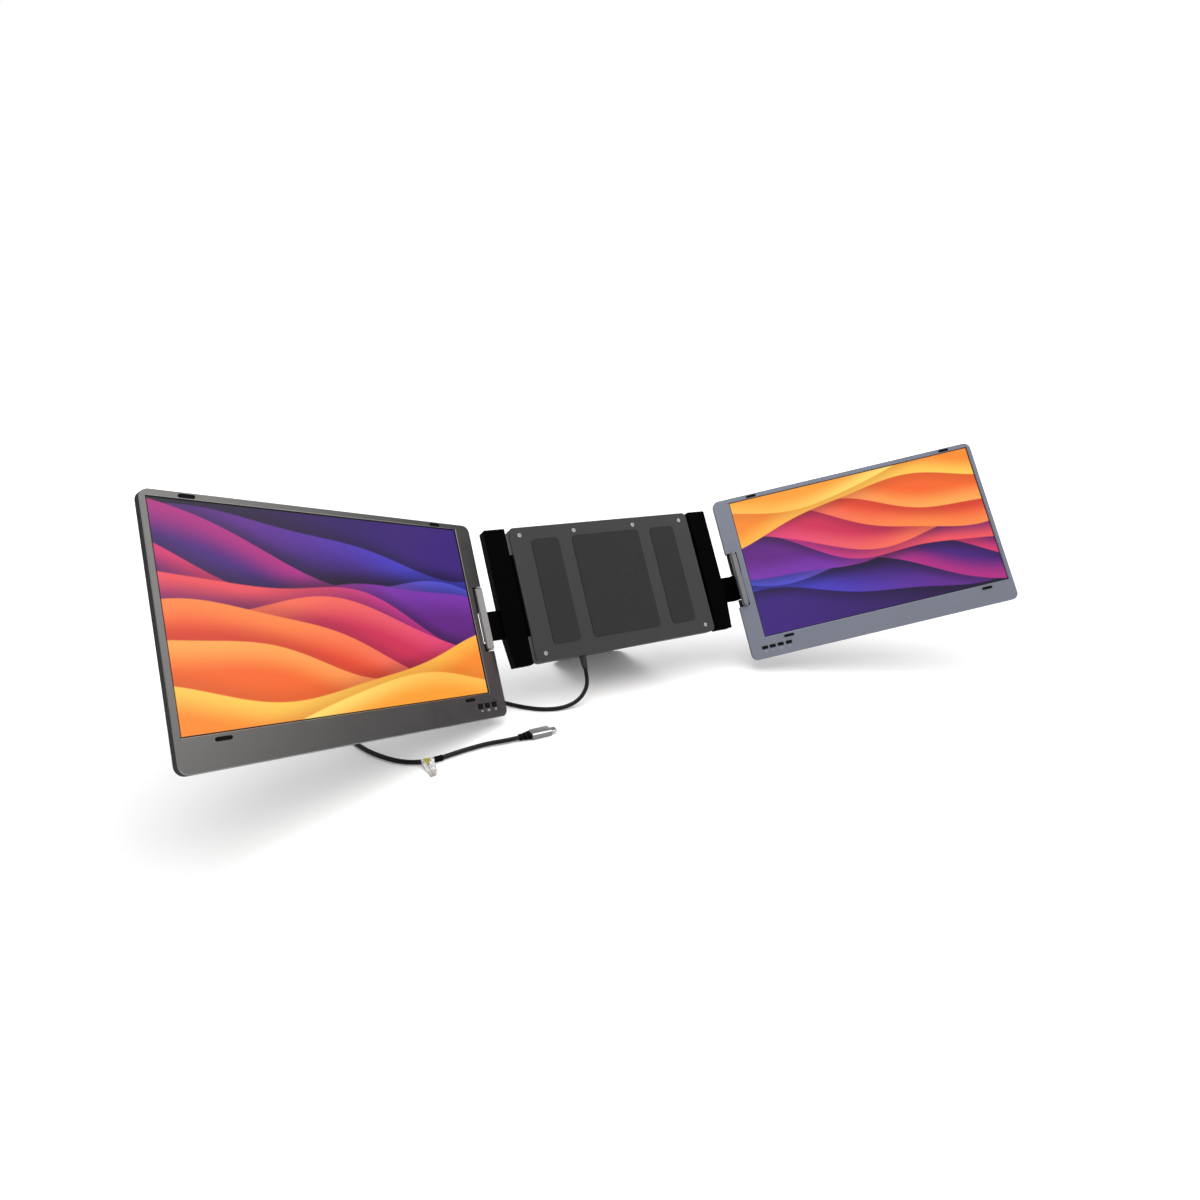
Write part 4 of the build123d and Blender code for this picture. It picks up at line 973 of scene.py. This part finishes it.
# ---- the object's sub-assemblies ----
@dataclass
class Lead:
    """The captive lead from the bracket's gland to its plug, in millimetres."""

    radius: float = 2.25
    table_drop: float = 118.0
    gland: tuple[Triple, ...] = ((-62.0, -40.01, -82.12), (-62.0, -47.22, -94.12))
    route: tuple[Triple, ...] = (
        (-69.0, -53.2, 10.8), (-81.5, -57.0, 3.2), (-99.0, -57.5, 0.2), (-118.0, -52.0, 0.0),
        (-135.8, -36.8, 0.0), (-148.7, -19.0, 0.0), (-166.0, 8.0, 0.0), (-190.0, 35.0, 0.0),
        (-222.0, 54.0, 0.0), (-258.0, 58.0, 0.0), (-289.0, 42.0, 0.0), (-309.0, 12.0, 0.0),
        (-317.0, -16.0, 0.0), (-313.5, -38.0, 0.0), (-305.0, -61.0, 0.0), (-293.0, -81.0, 0.1),
        (-282.0, -92.8, 0.2), (-269.0, -99.7, 0.4), (-256.3, -101.5, 0.5), (-248.0, -100.7, 0.6),
        (-234.0, -98.1, 0.6), (-217.0, -95.9, 0.6), (-199.0, -95.2, 0.8),
    )
    finish: tuple[Triple, ...] = ((-181.6, -98.2, -114.7), (-168.6, -98.2, -114.7))
    jacket: Moulded = Moulded("lead_jacket", tone(8, 8, 9), 0.26, 3200.0, 0.00001, gloss=0.2)
    line: np.ndarray = field(default_factory=lambda: np.zeros((0, 3)))

    def points(self) -> np.ndarray:
        """The route's points in metres; heights in the route are the lead's underside over the table."""
        laid = [(x, y, z + self.radius - self.table_drop) for x, y, z in self.route]
        return np.array([*self.gland, *laid, *self.finish]) * MM

    def read_line(self, lead: bpy.types.Object) -> np.ndarray:
        """The spline's own line, in metres, from a copy of the curve with no bevel."""
        bare = lead.copy()
        bare.data = lead.data.copy()
        bare.data.bevel_depth = 0.0
        mesh = bpy.data.meshes.new_from_object(bare)
        line = np.empty(len(mesh.vertices) * 3)
        mesh.vertices.foreach_get("co", line)
        bpy.data.objects.remove(bare)
        return line.reshape(-1, 3)

    @property
    def reach(self) -> np.ndarray:
        """How far along the lead each point of its line lies, in metres."""
        return np.concatenate([[0.0], np.cumsum(np.linalg.norm(np.diff(self.line, axis=0), axis=1))])

    def at_x(self, x: float) -> float:
        """How far along the lead its last stretch, which runs to the right, passes a place x in mm."""
        last = int(self.line[:, 0].argmin())
        return float(np.interp(x * MM, self.line[last:, 0], self.reach[last:]))

    def collar(self, start: float, profile: Sequence[tuple[float, float]], around: int = 32) -> Skin:
        """An open sleeve round the lead.

        Args:
            start: place along the lead that the profile is counted from, in metres.
            profile: for each ring, millimetres along from start and radius in millimetres.
            around: points on a ring.

        Returns:
            The sleeve as a skin.
        """
        along, radius = np.array(profile).T * MM

        def place(where: np.ndarray) -> np.ndarray:
            """Points of the line at places along it."""
            return np.column_stack([np.interp(where, self.reach, column) for column in self.line.T])

        side, upward = beside(place(start + along + MM) - place(start + along - MM))
        turns = np.linspace(0.0, 2 * np.pi, around, endpoint=False)[:, None, None]
        rings = place(start + along) + (np.cos(turns) * side + np.sin(turns) * upward) * radius[:, None]
        return skin(rings.transpose(1, 0, 2), capped=False)

    def build(self) -> None:
        """One open NURBS spline through the route's frame of control points."""
        points = self.points()
        data = bpy.data.curves.new("lead", "CURVE")
        data.dimensions = "3D"
        data.bevel_depth = self.radius * MM
        data.bevel_resolution = 6
        data.resolution_u = 12
        data.use_fill_caps = True
        spline = data.splines.new("NURBS")
        spline.points.add(len(points) - 1)
        spline.points.foreach_set("co", np.column_stack([points, np.ones(len(points))]).ravel())
        spline.order_u = 3
        spline.use_endpoint_u = True
        spline.use_smooth = True
        lead = placed("lead", data)
        self.line = self.read_line(lead)
        data.materials.append(self.jacket.material())
        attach(lead, "bracket")
        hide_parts("usb_cable")


@dataclass
class Tag:
    """Clear film folded round the lead, whose two strands meet in a tip on the table, and its slip.

    Places are millimetres in the part's frame; left and right are the ring's ends. A strip has `rows` rings
    of twice `across` points, and its corners are rounded over `blur` rings.
    """

    lead: Lead
    left: float = -268.3
    right: float = -256.9
    film: float = 0.35
    table: float = -118.0
    tip: Triple = (-266.9, -126.4, -117.4)
    rows: int = 40
    across: int = 7
    blur: int = 9

    @property
    def shares(self) -> np.ndarray:
        """Places round a strip's ring, from -1 at one edge to 1 at the other: over the top, then back."""
        return np.concatenate([np.linspace(-1, 1, self.across), np.linspace(1, -1, self.across)])

    def strip(self, line: Sequence[Triple], wide: Sequence[float], thick: float, arch: float) -> Skin:
        """A thin strip along a line.

        Args:
            line: corners of the middle line; the strip rounds them off.
            wide: width at each corner.
            thick: thickness.
            arch: how far the middle stands above the edges.

        Returns:
            The strip as a skin.
        """
        steps = np.linspace(0.0, len(line) - 1.0, self.rows)
        raw = [np.interp(steps, range(len(line)), column) for column in (*np.array(line).T, wide)]
        even = np.ones(self.blur) / self.blur
        soft = [np.convolve(np.pad(values, self.blur // 2, "edge"), even, "valid") for values in raw]
        middle, width = np.column_stack(soft[:3]), soft[3]
        side, upward = beside(np.gradient(middle, axis=0))
        lift = arch * (1 - self.shares**2) + np.repeat([thick, 0.0], self.across)
        aside = side[:, None] * (self.shares[:, None] * width[:, None, None] / 2)
        return skin((middle[:, None] + aside + upward[:, None] * lift[:, None]) * MM)

    def build(self) -> None:
        """The ring and the two strands as one film, and the pointed slip on the ring."""
        start, end = (self.lead.at_x(x) for x in (self.left, self.right))
        inner, length = self.lead.radius, (end - start) / MM
        outer = inner + self.film
        ring = self.lead.collar(start, ((0.0, inner), (0.0, outer), (length, outer), (length, inner)))
        low, high = self.table + 0.3, self.table + 2 * inner + 0.9
        x, y, z = self.tip
        left = (
            (-268.0, -99.8, high), (-267.2, -103.6, high - 1.9), (-266.7, -108.0, low + 1.2),
            (-266.4, -113.5, low + 0.1), (-266.2, -119.4, low), (x, y, z),
        )
        right = (
            (-259.6, -101.0, high), (-260.4, -104.6, high - 2.0), (-261.2, -108.8, low + 1.5),
            (-261.7, -113.8, low + 0.5), (-262.7, -119.2, low + 0.3), (x + 1.9, y + 0.6, z + 0.3),
        )
        strands = (
            self.strip(left, (2.6, 4.6, 4.8, 4.4, 3.2, 2.2), self.film, 0.35),
            self.strip(right, (4.2, 6.0, 6.4, 5.6, 4.6, 2.8), self.film, 0.35),
        )
        rim = np.concatenate([np.zeros(len(ring[0])), np.tile(np.abs(self.shares), 2 * self.rows)])
        film = ClearFilm("tag_film", y).material()
        whole = joined([ring, *strands])
        Piece("tag_folded_film", "bracket", "cable_tag", "clear_film").build(whole, film, rim)
        point = (
            (-263.6, -100.2, high + 0.2), (-263.8, -102.2, high),
            (-264.2, -104.2, high - 1.2), (-264.8, -107.2, low + 2.0),
        )
        slip = self.strip(point, (6.6, 5.6, 3.6, 0.3), 0.12, 0.05)
        paper = Moulded("tag_paper", tone(160, 148, 18), 0.45, 900.0, mottle=0.5).material()
        Piece("tag_pointed_slip", "bracket", "tag_insert", "yellow_film").build(slip, paper)


@dataclass
class Plug:
    """The plug with its stepped relief, and the sleeve on the lead; millimetres.

    relief has each step's length, width and height. A step is a groove, which ends at the share `groove`
    and is `sunk` narrower, and then a collar: places as shares of the step, with how much narrower it is.
    """

    lead: Lead
    place: Triple = (-168.6, -98.2, -114.7)
    relief: tuple[Triple, ...] = ((4.0, 7.4, 5.6), (4.2, 9.0, 6.0), (4.2, 11.0, 6.4))
    collar: tuple[tuple[float, float], ...] = ((0.29, 0.3), (0.36, 0.0), (0.94, 0.0), (1.0, 0.3))
    groove: float = 0.28
    sunk: float = 3.0
    length: float = 21.5
    wide: float = 12.4
    tall: float = 6.6
    sleeve: tuple[float, float] = (-256.4, -248.6)

    def loft(self, rows: Sequence[Row]) -> Skin:
        """A skin through rounded rectangles along x: rows of place, width, height and corner."""
        rings = [(x, rounded_ring(wide, tall, corner)) for x, wide, tall, corner in rows]
        points = [np.column_stack([np.full(len(ring), x), ring]) for x, ring in rings]
        return skin((np.array(points) + self.place) * MM)

    def relief_rows(self) -> list[Row]:
        """Three swelling collars with a groove between each two; the first one starts square on the lead."""
        rows: list[Row] = []
        x = 0.0
        for length, wide, tall in self.relief:
            steps = [(0.0, self.sunk), (self.groove, self.sunk), *self.collar]
            if not rows:
                first = self.collar[0][0]
                steps = [((share - first) / (1 - first), cut) for share, cut in self.collar]
            for share, cut in steps:
                rows.append((x + share * length, wide - cut, tall - 0.7 * cut, 0.42 * (tall - cut)))
            x += length
        return rows

    def shell_rows(self, start: float) -> list[Row]:
        """A bar with a shallow step behind the relief and cut ends."""
        end = self.length
        shape = (
            (0.0, 1.1, 0.9), (0.45, 0.3, 1.1), (0.9, 0.0, 1.2),
            (end - 0.8, 0.0, 1.2), (end - 0.3, 0.3, 1.1), (end, 0.9, 0.9),
        )
        return [(start + x, self.wide - cut, self.tall - cut, corner) for x, cut, corner in shape]

    def sleeve_profile(self, length: float) -> tuple[tuple[float, float], ...]:
        """The sleeve's wall along the lead, with a narrow ring at its far end."""
        wall = (
            (0.0, 0.0), (0.0, 0.4), (0.3, 0.6), (length - 2.0, 0.6), (length - 1.8, 0.3), (length - 1.5, 0.3),
            (length - 1.3, 0.67), (length - 0.2, 0.67), (length, 0.5), (length, 0.0),
        )
        return tuple((along, self.lead.radius + thick) for along, thick in wall)

    def build(self) -> None:
        """Makes relief, shell and sleeve, and dresses the tip."""
        black = Moulded("relief_rubber", tone(3, 3, 4), 0.4, 2400.0, 0.00001, gloss=0.06).material()
        relief = self.loft(self.relief_rows())
        Piece("plug_stepped_relief", "bracket", "plug_relief", "cord_rubber").build(relief, black)
        # The shell's silver has painted light: painted shade on its sides, a white painted highlight along
        # its upper edges, and a lighter painted top.
        silver = PaintedLightMetal(
            "plug_silver_painted_light", tone(132, 132, 134), RIGHTWARDS, 0.3,
            top=(self.place[2] + self.tall / 2) * MM, edge=tone(252, 252, 252), face=tone(196, 196, 198),
        ).material()
        shell = self.loft(self.shell_rows(sum(step[0] for step in self.relief)))
        Piece("plug_brushed_shell", "bracket", "plug_shell", "plug_metal", 20.0).build(shell, silver)
        dress(BrushedMetal("plug_tip_steel", tone(190, 190, 192), RIGHTWARDS, 0.25), "plug_tip")
        first, last = (self.lead.at_x(x) for x in self.sleeve)
        sleeve = self.lead.collar(first, self.sleeve_profile((last - first) / MM))
        Piece("lead_sleeve", "bracket", "cable_sleeve", "cord_rubber").build(sleeve, black)


@dataclass
class Bracket:
    """The plate on the lid's back, with its magnets, mats, board and shell."""

    shell: Triple = tone(62, 63, 66)

    def build(self) -> None:
        """Dresses every piece of the bracket."""
        upright = Hang(Side.LEFT)
        dress(Moulded("bracket_plastic", tone(28, 28, 29), 0.55, 1400.0), "bracket_front_plate")
        dress(CoatedMetal("bracket_shell", self.shell), "bracket_back_cover")
        dress(RibbedRubber("mat_silicone", tone(34, 34, 36), tuple(upright.up)), "grip_mats")
        dress(TurnedSteel("magnet_nickel", (0.5, 0.49, 0.46), 0.25), "lid_magnets")
        forward = upright.lean(0.0, -1.0, 0.0)
        Screws("plate_screws", "bracket", forward).build(TurnedSteel("plate_screw_steel").material())
        Screws("wing_guide_screws", "bracket", forward).build(TurnedSteel("guide_screw_steel").material())
        dress(CircuitBoard("controller_coat"), "controller_board")
        dress(TurnedSteel("stand_pin_steel"), "kickstand_pin")
        dress(Moulded("gland_rubber", tone(20, 20, 21), 0.6, 1800.0), "cable_gland")
        dress(CoatedMetal("stand_coat", self.shell), "kickstand")
        dress(Moulded("foot_rubber", tone(22, 22, 23), 0.75, 1500.0), "kickstand_foot")


@dataclass
class Wing:
    """One sliding wing with its arm and the hinge's silver barrel."""

    side: Side
    # silver is this side's barrel colour; the two sides differ only by painted light.
    silver: Triple
    black: Triple = tone(4, 4, 5)

    def build(self) -> None:
        """Dresses every piece of the wing."""
        name = self.side.value
        plastic = Moulded(f"{name}_wing_plastic", self.black, 0.6, 1400.0, gloss=0.01)
        dress(plastic, f"{name}_wing", f"{name}_wing_cover")
        dress(Moulded(f"{name}_arm_black", self.black, 0.5, 2200.0, gloss=0.01), f"{name}_arm")
        forward = Hang(self.side).lean(0.0, -1.0, 0.0)
        steel = TurnedSteel(f"{name}_arm_screw_steel").material()
        Screws(f"{name}_arm_screws", f"{name}_wing", forward).build(steel)
        dress(CoatedMetal(f"{name}_barrel_silver", self.silver, 0.3, 0.42), f"{name}_hinge_barrel")


@dataclass
class Screen:
    """One screen with its buttons and its half of the hinge."""

    coat: PrintedCoat
    cover: CoatedMetal

    def node(self, name: str) -> str:
        """A name on this side."""
        return f"{self.coat.hang.side.value}_{name}"

    def build(self) -> None:
        """Dresses every piece of the screen."""
        node, hang = self.node, self.coat.hang
        dress(self.coat, node("bezel"))
        dress(self.cover, node("back_cover"))
        dress(LitPicture(node("lit_glass"), hang), node("lcd_glass"))
        dress(Moulded(node("light_guide"), tone(225, 226, 224), 0.4), node("backlight"))
        dress(CircuitBoard(node("board_coat")), node("driver_board"), node("button_board"))
        dress(TurnedSteel(node("switch_steel")), node("button_switches"))
        dress(Moulded(node("pad_rubber"), tone(6, 6, 7), 0.75, 1600.0, gloss=0.1), node("face_pads"))
        dress(TurnedSteel(node("hinge_steel"), (0.3, 0.3, 0.31)), node("hinge_leaf"), node("hinge_pin"))
        black = TurnedSteel(node("screw_black"), (0.05, 0.05, 0.053), 0.32).material()
        for name in ("leaf_screws", "cover_screws"):
            Screws(node(name), node("screen"), hang.behind).build(black)
        caps = Moulded(node("button_plastic"), tone(7, 7, 8), 0.45, 2000.0, gloss=0.12)
        dress(caps, *(node(f"button_{number + 1}") for number in range(len(self.coat.signs))))


# Painted light: both screens share one real finish, and these are lit and shaded copies of it. The right's
# coat, cover and sign ink are painted bluer, its coat and cover lighter and its signs fainter; only the
# left's cut edge has a painted highlight, and its walls carry much darker painted shade.
LEFT_SCREEN = Screen(
    PrintedCoat(
        "left_coat", tone(105, 105, 105), 0.9, 0.3, 0.15, hang=Hang(Side.LEFT), cut=2.2, wall=0.07,
        signs=((Sign.RING, 8.4), (Sign.MENU, 19.0), (Sign.MINUS, 28.6)), level=-105.0,
        ink=tone(236, 234, 232),
    ),
    CoatedMetal("left_cover_coat", tone(27, 27, 28), 0.05, 0.5, 0.12),
)
RIGHT_SCREEN = Screen(
    PrintedCoat(
        "right_coat", tone(125, 130, 143), hang=Hang(Side.RIGHT),
        signs=((Sign.RING, 9.5), (Sign.PLUS, 19.2), (Sign.MENU, 29.3), (Sign.MINUS, 39.9)), level=-105.6,
        ink=tone(180, 188, 196), fade=0.4,
    ),
    CoatedMetal("right_cover_coat", tone(40, 41, 44), 0.05, 0.5, 0.15),
)


def main() -> None:
    """Builds the camera, the stage, the lead and the finishes in order."""
    logging.basicConfig(level=logging.INFO, format="%(message)s")
    bpy.context.scene.view_settings.view_transform = "Standard"
    Camera().build()
    Studio().build()
    lead = Lead()
    lead.build()
    Tag(lead).build()
    Plug(lead).build()
    Bracket().build()
    # Painted light: the barrels are one silver, painted lighter on the left and darker and bluer on the
    # right.
    Wing(Side.LEFT, tone(134, 133, 132)).build()
    Wing(Side.RIGHT, tone(106, 107, 110)).build()
    LEFT_SCREEN.build()
    RIGHT_SCREEN.build()


if __name__ == "__main__":
    main()
